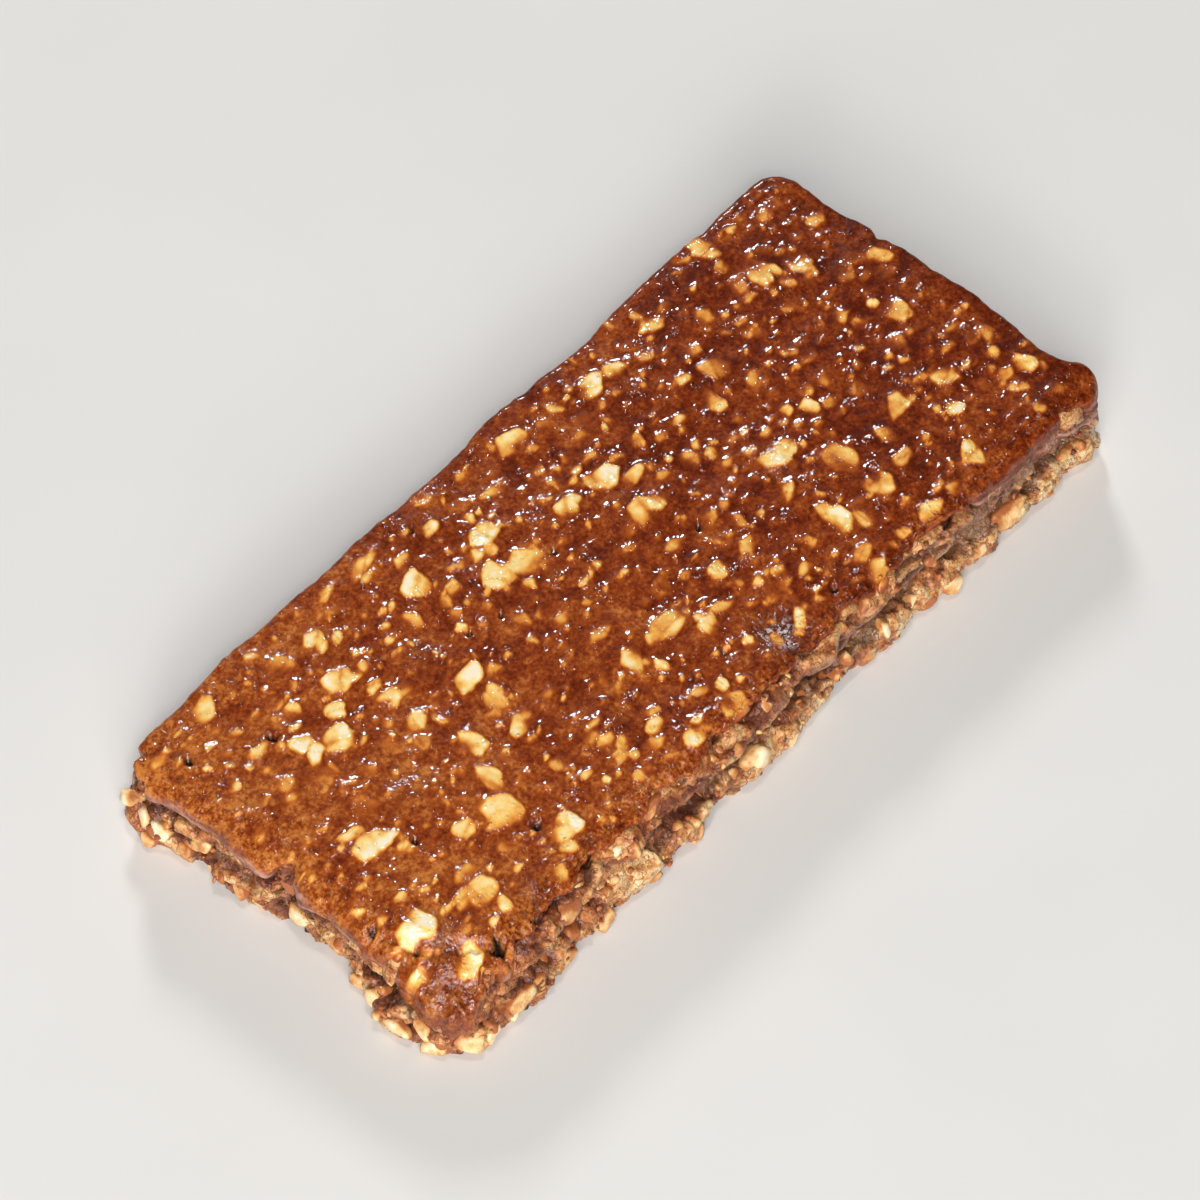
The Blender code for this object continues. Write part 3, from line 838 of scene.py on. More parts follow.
def skin_mesh():
    """The skin: a grid fitted to the outline, then rings over its edge and back under to a flat hidden face."""
    spans_x, spans_y = SKIN_SPANS
    half_x, half_y = np.meshgrid(
        np.linspace(-LENGTH / 2, LENGTH / 2, spans_x + 1), np.linspace(-WIDTH / 2, WIDTH / 2, spans_y + 1)
    )
    rim = np.maximum(np.abs(half_x) / (LENGTH / 2), np.abs(half_y) / (WIDTH / 2))
    x, y, _, _ = round_corner(half_x, half_y)
    scale = 1 / np.maximum(rim, 1e-6)
    edge_x, edge_y, out_x, out_y = round_corner(half_x * scale, half_y * scale)
    broken = broken_back(edge_x, edge_y)
    place = np.stack([edge_x, edge_y, np.zeros_like(edge_x)], axis=-1)
    ragged = 0.8 * lumps(place, 4.0, 91) + 0.8 * lumps(place, 1.9, 92) + 0.4 * lumps(place, 0.8, 93)
    cornered = bell(edge_x, edge_y, -48.0, -20.5, 4.5)
    ragged = ragged * (0.15 + 0.85 * broken + 1.1 * cornered) - 0.5 * cornered
    on_lip, _ = side_pushes(edge_x, edge_y)
    depth = LIP_DEPTH + WORN_LIP_DEPTH * smooth_step(0, WIDTH / 2, -edge_y)
    push = (on_lip - depth - ragged) * rim**RIM_FADE
    x = x + out_x * push
    y = y + out_y * push
    level, glow, dark, grainy = skin_level(x + OUTLINE_CENTRE[0], y + OUTLINE_CENTRE[1])

    border = np.arange((spans_x + 1) * (spans_y + 1)).reshape(spans_y + 1, spans_x + 1)
    border = np.concatenate([border[0], border[1:, -1], border[-1, -2::-1], border[-2:0:-1, 0]])
    pick = np.unravel_index(border, x.shape)
    bare = smooth_section(BROKEN_EDGE, SKIN_EDGE_ROWS + 1)[1:, None]
    covered = smooth_section(ROLLED_EDGE, SKIN_EDGE_ROWS + 1)[1:, None]
    crisp = smooth_section(CRISP_EDGE, SKIN_EDGE_ROWS + 1)[1:, None]
    covered = crisp + (covered - crisp) * trimmed_first(edge_x, edge_y)[pick][:, None]
    section = covered + (bare - covered) * broken[pick][:, None]
    start = ROLLED_EDGE[0][0] + (BROKEN_EDGE[0][0] - ROLLED_EDGE[0][0]) * broken[pick]
    inset, drop = section[..., 0] - start, section[..., 1] - THICKNESS
    fade = smooth_step(7.0, 3.0, section[..., 0])
    worn = depth[pick] - start
    hold = np.linspace(1, 0, SKIN_EDGE_ROWS)[:, None] ** 0.5
    out = -inset + worn * (1 - hold)
    top_level = level[pick] - THICKNESS
    ring_x = x[pick] + out_x[pick] * out
    ring_y = y[pick] + out_y[pick] * out
    sagging = smooth_step(-0.8, -2.6, top_level)
    torn = lumps(np.stack([ring_x, ring_y, np.zeros_like(ring_x)], axis=-1), 1.7, 99)
    drape = sagging * (1.9 + 2.2 * torn) * smooth_step(9.5, 7.8, section[..., 1]) * smooth_step(2.4, 1.2, section[..., 0])
    ring_z = section[..., 1] + top_level * hold * fade - drape
    return x, y, level, glow, dark, grainy, border, ring_x, ring_y, ring_z, section[..., 1], sagging, broken[pick]


x, y, level, glow, dark, grainy, border, ring_x, ring_y, ring_z, rolled, sagging, edge_broken = skin_mesh()
rings = np.stack([ring_x, ring_y, ring_z], axis=-1)
rough_edge = 0.28 * lumps(rings, 1.9, 95) + 0.2 * lumps(rings, 0.9, 96) + 0.12 * crags(rings * (0.25, 0.25, 1.0), 1.2, 98)
rough_edge = rough_edge * (0.75 + 0.45 * edge_broken + 1.1 * sagging) * np.linspace(0.3, 1.6, SKIN_EDGE_ROWS)[:, None].clip(0, 1)
rings = rings + outward_normals(rings) * rough_edge[..., None]
rings[-1, :, 2] = 6.8
top = np.stack([x, y, level], axis=-1).reshape(-1, 3)
form_x, form_y, _ = np.concatenate([top, rings.reshape(-1, 3)]).T
dry = smooth_step(3.4, 1.2, inset_of(form_x, form_y)) * (1 - trimmed_first(form_x, form_y))
skin_points = np.concatenate([top, rings.reshape(-1, 3)]) + np.array((*OUTLINE_CENTRE, 0.0))
grid = np.arange(len(top)).reshape(x.shape)
top_faces = np.stack([grid[:-1, :-1], grid[:-1, 1:], grid[1:, 1:], grid[1:, :-1]], axis=-1).reshape(-1, 4)
loop = len(border)
first_ring = len(top)
beside = np.roll(border, -1)
ring_one = first_ring + np.arange(loop)
join = np.stack([border, ring_one, np.roll(ring_one, -1), beside], axis=-1)
edge_faces = ring_faces(SKIN_EDGE_ROWS, loop, first_ring)
back = (len(skin_points) - 1 - np.arange(loop))[None, :]
trimmed = trimmed_first(x.ravel()[border], y.ravel()[border])
# The lip mask says where the painted mauve sheen goes on the rolled lip.
lip = smooth_step(8.9, 7.9, rolled - 0.55 * trimmed + 0.9 * lumps(rings, 2.0, 97)) * (1 - edge_broken)
lip = lip * (1 - 0.85 * sagging)
lip = lip * smooth_step(-0.7, 0.1, lumps(rings, 2.6, 94)) * (0.75 + 0.25 * trimmed)
# Painted shade under the overhang of the broken edge.
under_edge_shade = smooth_step(0.0, 0.35, np.linspace(0, 1, SKIN_EDGE_ROWS) - 0.22)[:, None] * edge_broken
skin = make_piece(
    "skin",
    skin_points,
    [top_faces, join, edge_faces, back],
    glow=np.concatenate([glow.ravel(), (glow.ravel()[border] * np.linspace(1, 0, SKIN_EDGE_ROWS)[:, None] ** 6).ravel()]),
    dark=np.concatenate([dark.ravel(), np.clip(under_edge_shade, 0, 1).ravel()]),
    lip=np.concatenate([np.zeros(len(top)), lip.ravel()]),
    grainy=np.concatenate([grainy.ravel(), (grainy.ravel()[border] * np.ones_like(rings[..., 0])).ravel()]),
    dry=dry,
    wrinkled=sum(bell(skin_points[:, 0], skin_points[:, 1], px, py, reach) for px, py, reach in WRINKLED_SPOTS),
)


def beads(tree, place, millimetres, radius, share):
    """Small round bumps, at most one to a cell: (1 - (d / radius)^2)^2 of the distance d to its middle.

    A cell has its bump when its own random number is below the share.
    """
    node = tree.nodes.new("ShaderNodeTexVoronoi")
    set_sockets(tree, node, {"Vector": place, "Scale": 1 / (millimetres * MM)})
    own = tree.nodes.new("ShaderNodeSeparateColor")
    tree.links.new(node.outputs["Color"], own.inputs["Color"])
    there = worked(tree, "LESS_THAN", own.outputs["Red"], share)
    part = worked(tree, "DIVIDE", node.outputs["Distance"], radius)
    cap = worked(tree, "MAXIMUM", worked(tree, "SUBTRACT", 1.0, worked(tree, "MULTIPLY", part, part)), 0.0)
    return worked(tree, "MULTIPLY", worked(tree, "MULTIPLY", cap, cap), there)


def nut_colour(tree, place, glow):
    """How bright a nut looks at each place, made uneven, and its colour: deep orange, gold, pale cream."""
    uneven = worked(tree, "MULTIPLY_ADD", speckle(tree, place, 1.7, 2.0), 1.0, 0.05)
    uneven = worked(tree, "SUBTRACT", uneven, worked(tree, "MULTIPLY", along_bar(tree, place), 0.09))
    shine = worked(tree, "MULTIPLY", worked(tree, "MULTIPLY", glow, 1.28), uneven)
    warm = ramped(
        tree, shine,
        (0.03, (146, 62, 20)), (0.2, (192, 100, 36)), (0.38, (230, 154, 66)),
        (0.56, (248, 198, 108)), (0.74, (255, 222, 148)), (0.98, (255, 238, 206)),
    )
    return shine, warm


def skin_finish():
    """Set syrup paste: fine sandy mottling, slow clouds, orange glow over nuts, painted shade in cracks and holes, a
    painted mauve sheen on the lip, pale veins in the wet hollow that are partly a whitish bloom and partly a painted
    sheen, clusters of wet beads.
    """
    finish, tree, shader, place = new_finish("syrup skin")
    glow = field(tree, "glow")
    grainy = field(tree, "grainy")
    grit = speckle(tree, place, 0.42, 2.0, 0.6)
    mottle = speckle(tree, place, 1.3, 3.0)
    cloud = speckle(tree, place, 5.5, 2.0)
    sandy = worked(tree, "MULTIPLY_ADD", grainy, 0.25, 0.52)
    grain = worked(tree, "MULTIPLY", worked(tree, "SUBTRACT", grit, 0.5), sandy)
    grain = worked(tree, "MULTIPLY_ADD", mottle, 0.6, grain)
    grain = worked(tree, "MULTIPLY_ADD", cloud, 0.45, worked(tree, "SUBTRACT", grain, 0.078))
    grain = worked(tree, "MULTIPLY_ADD", grainy, 0.03, grain)
    grain = worked(tree, "MULTIPLY_ADD", along_bar(tree, place), -0.10, grain)
    colour = ramped(
        tree, grain,
        (0.26, (86, 26, 4)), (0.40, (122, 46, 12)), (0.54, (154, 72, 25)), (0.72, (204, 124, 56)),
    )
    wrinkled = clamped(tree, field(tree, "wrinkled"))
    colour = mixed(tree, worked(tree, "MULTIPLY", wrinkled, 0.3), colour, (84, 36, 24))
    # The deepest wrinkled hollow gets a darker patch and pale veins; the veins are partly a whitish bloom and partly a
    # painted sheen of the wet hollow.
    bloom_and_sheen = clamped(tree, worked(tree, "SUBTRACT", field(tree, "wrinkled"), 1.0))
    colour = mixed(tree, worked(tree, "MULTIPLY", bloom_and_sheen, 0.75), colour, (70, 36, 28))
    bloom_sheen_veins = clamped(tree, worked(tree, "MULTIPLY_ADD", speckle(tree, place, 0.7, 3.0, 0.7), 14.0, -7.3))
    colour = mixed(tree, worked(tree, "MULTIPLY", worked(tree, "MULTIPLY", bloom_and_sheen, bloom_sheen_veins), 0.9), colour, (236, 216, 212))
    # Painted shade: the crack, holes, sunk grains and the underside of the broken edge go nearly black.
    colour = mixed(tree, field(tree, "dark"), colour, (22, 11, 7))
    shine, warm = nut_colour(tree, place, glow)
    colour = mixed(tree, clamped(tree, worked(tree, "MULTIPLY", shine, 3.4)), colour, warm)
    # Painted sheen: pale mauve streaks on the rolled lip stand in for the reflection of its glossy surface.
    streaks = speckle(tree, stretched_place(tree, place), 1.0, 3.0)
    painted_lip_sheen = ramped(tree, streaks, (0.36, (92, 48, 36)), (0.52, (150, 98, 80)), (0.68, (206, 168, 154)))
    colour = mixed(tree, worked(tree, "MULTIPLY", field(tree, "lip"), 0.8), colour, painted_lip_sheen)
    patch = clamped(tree, worked(tree, "MULTIPLY_ADD", speckle(tree, place, 2.4, 2.0), 7.0, -4.0))
    round_nut = worked(tree, "MULTIPLY", worked(tree, "MULTIPLY", glow, worked(tree, "SUBTRACT", 1.0, glow)), 2.0)
    rough = worked(tree, "MAXIMUM", worked(tree, "MAXIMUM", patch, round_nut), worked(tree, "MULTIPLY", grainy, 0.8))
    rough = clamped(tree, worked(tree, "MAXIMUM", rough, field(tree, "wrinkled")), 0.02, 1.7)
    ripple = worked(tree, "MULTIPLY", speckle(tree, place, 0.7, 2.0, 0.6), rough)
    rise = bumped(tree, ripple, 0.27)
    rise = bumped(tree, beads(tree, place, 0.5, 0.5, worked(tree, "MULTIPLY", rough, 0.7)), 0.09, rise)
    rise = bumped(tree, beads(tree, place, 0.5, 0.42, 0.03), 0.05, rise)
    wet = worked(tree, "MULTIPLY_ADD", grainy, -0.4, worked(tree, "MULTIPLY_ADD", field(tree, "dry"), -0.6, 1.0))
    settings = {
        "Base Color": colour, "Roughness": 0.45, "Specular IOR Level": 0.06, "Normal": rise,
        "Coat Weight": wet, "Coat Roughness": 0.08, "Coat Normal": rise, "IOR": 1.45,
        "Subsurface Weight": 0.12, "Subsurface Radius": (1.0, 0.35, 0.12), "Subsurface Scale": 0.7 * MM,
    }
    set_sockets(tree, shader, settings)
    return finish


skin.data.materials.append(skin_finish())
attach(skin, "root")
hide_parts("bar")


# ---------------------------------------------------------------------------
# Nuts in the skin. Chopped roasted peanuts, some bare and cream, most under a film of syrup that
# turns them gold or amber. They were pressed flat with the paste, so each has a level upper face.
# ---------------------------------------------------------------------------
def ball_grid(around, down):
    """Directions over a ball: rings between two closed poles, and the faces that join them."""
    polar = np.pi * np.arange(1, down) / down
    turn = 2 * np.pi * np.arange(around) / around
    rings = np.stack(
        [
            np.sin(polar)[:, None] * np.cos(turn),
            np.sin(polar)[:, None] * np.sin(turn),
            np.cos(polar)[:, None] * np.ones(around),
        ],
        axis=-1,
    ).reshape(-1, 3)
    directions = np.vstack([rings, (0, 0, 1), (0, 0, -1)])
    first = np.arange(around)
    last = first + (down - 2) * around
    top_pole, low_pole = len(rings), len(rings) + 1
    caps = np.concatenate(
        [
            np.stack([np.full(around, top_pole), first, np.roll(first, -1)], axis=-1),
            np.stack([np.full(around, low_pole), np.roll(last, -1), last], axis=-1),
        ]
    )
    return directions, ring_faces(down - 1, around), caps


def copied_faces(faces, count, points):
    """The same faces for each of several copies whose points follow one another."""
    return (faces[None] + points * np.arange(count)[:, None, None]).reshape(-1, faces.shape[1])


SLOPE_REACH = 0.8
SLOPE_STEPS = np.eye(2) * SLOPE_REACH


def bare_level(x, y):
    """Level of the skin without the lift that a nut gives it."""
    return skin_level(x, y)[0] - round_nuts(x, y)[1]


def skin_nut_mesh(kind, around, down):
    """All nuts of one kind as one mesh: faceted stones squashed to size, sunk so that little stands out."""
    mine = skin_nuts["kind"] == kind
    place, half, rise = skin_nuts["place"][mine], skin_nuts["half"][mine], skin_nuts["rise"][mine]
    directions, quads, caps = ball_grid(around, down)
    count, size = len(place), len(directions)
    reach = facet_reach(directions, skin_nuts["planes"][mine], skin_nuts["distances"][mine])
    stones = directions * reach[..., None]
    thick = 0.3 + 0.25 * half.min(axis=1)
    grooves = 0.05 * lumps(stones * 2.2 + np.arange(count)[:, None, None] * 9.7, 1.0, 101)
    stones = stones * (1 + grooves)[..., None] * np.stack([half[:, 0], half[:, 1], thick], axis=-1)[:, None]
    turn, tilt = skin_nuts["turn"][mine][:, None], skin_nuts["tilt"][mine]
    top_face = stones[..., 2].max(axis=1, keepdims=True)
    along, across, up = (stones[..., axis] for axis in range(3))
    dx = along * np.cos(turn) - across * np.sin(turn)
    dy = along * np.sin(turn) + across * np.cos(turn)
    level = bare_level(*place.T)
    slope = np.stack([bare_level(*(place + step).T) - bare_level(*(place - step).T) for step in SLOPE_STEPS], axis=-1)
    slope = (slope / (2 * SLOPE_REACH)).clip(-0.6, 0.6)
    tilt = tilt + slope
    level = level - 0.5 * np.linalg.norm(slope, axis=1)
    dent = 0.1 * nut_groove(
        along / half[:, :1], across / half[:, 1:], skin_nuts["groove"][mine][:, None], skin_nuts["split"][mine][:, None]
    )
    up = up - top_face - dent + (level + rise)[:, None] + tilt[:, :1] * dx + tilt[:, 1:] * dy
    points = np.stack([place[:, :1] + dx, place[:, 1:] + dy, up], axis=-1).reshape(-1, 3)
    under, glow, _, _ = skin_level(points[:, 0], points[:, 1])
    steep = np.repeat(1 + 2 * np.linalg.norm(slope, axis=1), size)
    faces = [copied_faces(quads, count, size), copied_faces(caps, count, size)]
    return make_piece("nuts_" + NUT_KINDS[kind][0], points, faces, glow=glow, bare=(points[:, 2] - under) / steep)


def nut_finish(name, gain):
    """Roasted nut under a syrup film: amber at the paste line, paler where it stands out, faint fibres."""
    finish, tree, shader, place = new_finish(name)
    fibre = speckle(tree, place, 0.7, 3.0)
    fine = speckle(tree, place, 0.3, 3.0)
    out = worked(tree, "MULTIPLY", clamped(tree, worked(tree, "DIVIDE", field(tree, "bare"), 0.2)), gain)
    _, colour = nut_colour(tree, place, worked(tree, "ADD", field(tree, "glow"), out))
    rise = bumped(tree, fibre, 0.08)
    rise = bumped(tree, fine, 0.05, rise)
    settings = {
        "Base Color": colour, "Roughness": worked(tree, "MULTIPLY_ADD", fine, 0.3, 0.3), "Normal": rise,
        "Coat Weight": 0.9, "Coat Roughness": 0.09, "Coat Normal": rise, "IOR": 1.45, "Specular IOR Level": 0.2,
        "Subsurface Weight": 0.15, "Subsurface Radius": (1.0, 0.7, 0.45), "Subsurface Scale": 0.4 * MM,
    }
    set_sockets(tree, shader, settings)
    return finish


cream = skin_nut_mesh(0, 30, 16)
cream.data.materials.append(nut_finish("bare peanut", 0.3))
golden = skin_nut_mesh(1, 26, 14)
golden.data.materials.append(nut_finish("filmed peanut", 0.2))
amber = skin_nut_mesh(2, 22, 12)
amber.data.materials.append(nut_finish("sunk peanut", 0.1))
for piece in (cream, golden, amber):
    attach(piece, "root")


# ---------------------------------------------------------------------------
# Nuts in the sides. Where the slab was cut, whole and half nuts stand out of the crumb, bare and
# matt, some cut clean through. They lie any way up.
# ---------------------------------------------------------------------------
# Placed ones: x, y, level, length, height, how far out, shade from 0 amber to 1 cream
SIDE_NUTS = (
    (34.2, -21.2, 2.6, 6.4, 2.4, 0.6, 0.58), (-4.6, -21.2, 2.2, 3.2, 2.4, 0.6, 0.95), (1.1, -21.2, 0.9, 2.4, 1.4, 0.4, 0.8),
    (-14.1, -21.2, 1.4, 2.2, 2.2, 0.5, 0.55), (-21.6, -21.2, 1.9, 1.9, 1.6, 0.4, 0.7), (25.2, -21.2, 1.7, 2.6, 1.9, 0.6, 0.85),
    (29.2, -21.2, 2.4, 1.8, 1.1, 0.4, 0.8), (15.6, -21.2, 3.2, 1.3, 2.2, 0.4, 0.9), (13.2, -21.2, 1.1, 2.4, 1.6, 0.4, 0.45),
    (-33.4, -21.4, 1.2, 3.0, 1.7, 0.5, 0.5), (-27.5, -21.4, 1.0, 2.6, 1.7, 0.4, 0.6), (-31.9, -21.4, 6.6, 3.6, 2.2, 0.5, 0.35),
    (-18.7, -20.6, 8.4, 3.0, 1.2, 0.4, 0.4), (-41.6, -22.4, 1.2, 1.4, 2.2, 0.6, 0.9), (-37.5, -22.0, 1.6, 2.4, 2.4, 0.5, 0.3),
    (-45.0, -21.6, 0.9, 3.0, 1.3, 0.5, 0.5), (40.5, -21.0, 1.6, 2.6, 1.6, 0.4, 0.45), (44.5, -20.6, 3.0, 2.6, 1.4, 0.4, 0.5),
    (36.5, -21.0, 2.0, 2.2, 1.6, 0.4, 0.35), (20.5, -21.0, 2.6, 1.6, 1.3, 0.5, 0.75),
    (-48.6, 21.4, 3.4, 2.0, 2.0, 0.6, 0.9), (-49.0, 19.0, 3.0, 2.2, 1.6, 0.6, 0.9), (-49.0, 16.6, 2.7, 2.2, 1.7, 0.6, 0.95),
    (-49.0, 17.6, 1.0, 2.2, 1.6, 0.6, 0.5), (-48.6, 12.5, 3.2, 2.4, 2.2, 0.5, 0.55), (-48.6, 11.2, 0.9, 1.8, 1.6, 0.5, 0.9),
    (-48.6, 14.4, 1.5, 2.0, 1.8, 0.4, 0.4), (-48.2, 0.4, 2.9, 2.8, 1.4, 0.5, 0.9), (-48.2, 6.8, 2.0, 2.0, 1.4, 0.4, 0.4),
    (-48.2, -4.6, 1.4, 2.2, 1.6, 0.4, 0.4), (-48.6, -8.6, 1.3, 2.0, 1.6, 0.5, 0.45), (-49.4, -12.2, 2.2, 2.0, 1.9, 0.7, 0.9),
    (-47.8, -21.6, 2.4, 3.4, 2.2, 0.6, 0.6), (-44.6, -22.2, 2.0, 2.2, 1.8, 0.6, 0.95), (-40.6, -22.4, 2.8, 3.4, 1.8, 0.5, 0.6),
    (-50.2, -17.4, 2.6, 2.6, 1.8, 0.5, 0.6),
    (-49.8, -14.6, 1.2, 3.6, 1.6, 0.7, 0.7), (-48.8, -18.6, 1.4, 2.6, 1.8, 0.6, 0.85), (-48.2, 1.9, 6.2, 2.2, 2.0, 0.2, 0.4),
)
SIDE_NUT_SCATTER = 130
STONE_PLANES = 10
STONE_ROUNDING = 16


def stones(count, rng):
    """Random stones: planes spread over the ball at uneven distances, held in by one plane on each axis."""
    axes = np.vstack([np.eye(3), -np.eye(3)])
    spread = rng.normal(size=(count, STONE_PLANES, 3))
    spread /= np.linalg.norm(spread, axis=-1, keepdims=True)
    planes = np.concatenate([np.broadcast_to(axes, (count, 6, 3)), spread], axis=1)
    distances = np.concatenate([np.ones((count, 6)), rng.uniform(0.72, 1.05, (count, STONE_PLANES))], axis=1)
    return planes, distances


def side_anchor(spots, reaches):
    """A place on the crumb by each spot, and the outward direction there.

    It is the nearest surface point, weighing height most, moved out as far as most of the crumb within
    reach stands, so that a nut there isn't buried by its neighbours.
    """
    surface = (crumb_skin + (*OUTLINE_CENTRE, 0.0)).reshape(-1, 3)
    angle = outline_path(CRUMB_COLUMNS)[2]
    anchors = []
    for spot, reach in zip(spots, reaches):
        nearest = np.argmin(np.sum((surface - spot) ** 2 * (1, 1, 3), axis=1))
        facing = angle[nearest % CRUMB_COLUMNS]
        out = np.array((np.cos(facing), np.sin(facing), 0.35))
        out /= np.linalg.norm(out)
        away = surface - surface[nearest]
        beside = np.linalg.norm(away, axis=1) < reach
        anchors.append((surface[nearest] + out * np.percentile(away[beside] @ out, 70), out))
    anchors = np.array(anchors)
    return anchors[:, 0], anchors[:, 1]


def free_turns(count, rng):
    """Random rotations: the orthogonal part of a random 3 by 3 matrix."""
    turn, _ = np.linalg.qr(rng.normal(size=(count, 3, 3)))
    return turn * np.sign(np.linalg.det(turn))[:, None, None]


def stone_points(directions, planes, distances, scale):
    """Surface points of many stones, each stretched by its own three sizes."""
    return directions * facet_reach(directions, planes, distances, STONE_ROUNDING)[..., None] * scale[:, None]


def side_nuts():
    """Places, sizes and shades of the nuts in the sides: the listed ones, then scattered ones."""
    rng = np.random.default_rng(11)
    listed = np.array(SIDE_NUTS)
    spots, normals = side_anchor(listed[:, :3], listed[:, 3:5].max(axis=1) * 0.4)
    sideways = np.cross((0, 0, 1), normals)
    sideways /= np.linalg.norm(sideways, axis=-1, keepdims=True)
    upward = np.cross(normals, sideways)
    lean = rng.normal(0, 0.2, len(listed))[:, None]
    frames = np.stack([sideways + lean * upward, upward - lean * sideways, normals], axis=-1)
    frames, _ = np.linalg.qr(frames)
    frames = frames * np.sign(np.linalg.det(frames))[:, None, None]
    scale = np.stack([listed[:, 3] / 2, listed[:, 4] / 2, listed[:, 3:5].min(axis=1) / 2], axis=-1) * 1.1
    centres = spots + normals * (listed[:, 5] - scale[:, 2])[:, None]

    row = rng.integers(14, CRUMB_ROWS - 3, SIDE_NUT_SCATTER * 4)
    column = rng.integers(0, CRUMB_COLUMNS, SIDE_NUT_SCATTER * 4)
    level = crumb_skin[row, column, 2]
    short_side = crumb_skin[row, column, 0] < -45
    keep = rng.random(len(row)) < np.where(level < 3.6, 0.6 + 0.4 * short_side, 0.35 * edge_share[column])
    row, column = row[keep][:SIDE_NUT_SCATTER], column[keep][:SIDE_NUT_SCATTER]
    more = rng.uniform(0.5, 1.3, (len(row), 3)) * rng.uniform(0.7, 1.0, (len(row), 1))
    out = crumb_normals[row, column]
    middle = crumb_skin[row, column] + (*OUTLINE_CENTRE, 0.0) - out * (more.mean(axis=1) * 0.7)[:, None]
    turns = np.concatenate([frames, free_turns(len(row), rng)])
    shade = np.concatenate([listed[:, 6], 0.1 + 0.75 * rng.random(len(row))])
    level_spots = np.concatenate([spots, crumb_skin[row, column] + (*OUTLINE_CENTRE, 0.0)])
    return (
        np.concatenate([centres, middle]), np.concatenate([scale, more]), turns, shade,
        level_spots, np.concatenate([normals, out]), rng,
    )


def side_nut_mesh(name, chosen, around, down):
    """The chosen side nuts as one mesh of faceted stones with a rough skin, none of them under the foot."""
    directions, quads, caps = ball_grid(around, down)
    count, size = len(chosen), len(directions)
    planes, distances = stones(count, np.random.default_rng(23 + count))
    shape = stone_points(directions, planes, distances, side_scale[chosen])
    shape = np.einsum("nij,nmj->nmi", side_turns[chosen], shape) + side_centres[chosen][:, None]
    shape += 0.09 * lumps(shape, 0.9, 111)[..., None] * directions
    bare = np.einsum("nmi,ni->nm", shape - side_spots[chosen][:, None], side_outs[chosen])
    shape[..., 2] = np.maximum(shape[..., 2], 0.02)
    faces = [copied_faces(quads, count, size), copied_faces(caps, count, size)]
    shade = np.repeat(side_shade[chosen], size)
    return make_piece(name, shape.reshape(-1, 3), faces, shade=shade, bare=bare)


def side_nut_finish(name, *stops):
    """Bare roasted nut: matt, faintly fibrous, tan where the paste has stained it."""
    finish, tree, shader, place = new_finish(name)
    stain = speckle(tree, place, 1.3, 3.0)
    fine = speckle(tree, place, 0.35, 3.0)
    amount = worked(tree, "MULTIPLY_ADD", stain, 1.8, worked(tree, "SUBTRACT", field(tree, "shade"), 0.9))
    amount = worked(tree, "MULTIPLY_ADD", fine, 0.3, worked(tree, "SUBTRACT", amount, 0.15))
    stained = clamped(tree, worked(tree, "DIVIDE", worked(tree, "SUBTRACT", 0.45, field(tree, "bare")), 0.4))
    amount = worked(tree, "SUBTRACT", amount, worked(tree, "MULTIPLY", stained, 0.55))
    rise = bumped(tree, stain, 0.15)
    rise = bumped(tree, fine, 0.07, rise)
    settings = {
        "Base Color": ramped(tree, amount, *stops), "Normal": rise,
        "Roughness": worked(tree, "MULTIPLY_ADD", fine, 0.3, 0.38), "Specular IOR Level": 0.3,
        "Coat Weight": 0.5, "Coat Roughness": 0.18, "Coat Normal": rise,
        "Subsurface Weight": 0.15, "Subsurface Radius": (1.0, 0.7, 0.45), "Subsurface Scale": 0.4 * MM,
    }
    set_sockets(tree, shader, settings)
    return finish


edge_share = broken_back(*outline_path(CRUMB_COLUMNS)[:2]) * 0.8 + 0.2
side_centres, side_scale, side_turns, side_shade, side_spots, side_outs, rng = side_nuts()
listed_count = len(SIDE_NUTS)
halves = side_nut_mesh("side_nuts", np.arange(listed_count), 24, 14)
pieces_count = len(side_centres)
bits = side_nut_mesh("side_nut_pieces", np.arange(listed_count, pieces_count), 14, 8)
for piece in (halves, bits):
    piece.data.materials.append(
        side_nut_finish(
            "cut peanut", (0.0, (180, 104, 56)), (0.3, (216, 148, 84)), (0.6, (244, 200, 134)), (1.0, (255, 236, 200))
        )
    )
    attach(piece, "root")


# ---------------------------------------------------------------------------
# Loose crumbs. Grains of nut and paste that broke off when the slab was cut cling to the ledge, the
# crevice and the band. Each is a few facets across.
# ---------------------------------------------------------------------------
# Kinds of crumb: how many, least and most radius, the display colours from dark to pale
CRUMB_KINDS = (
    ("tan", 190, 0.1, 0.4, ((0.0, (186, 106, 50)), (0.5, (228, 160, 86)), (1.0, (250, 208, 142)))),
    ("brown", 320, 0.1, 0.45, ((0.0, (104, 44, 22)), (0.5, (158, 80, 42)), (1.0, (200, 120, 68)))),
)
CRUMB_AROUND = 8
CRUMB_DOWN = 5


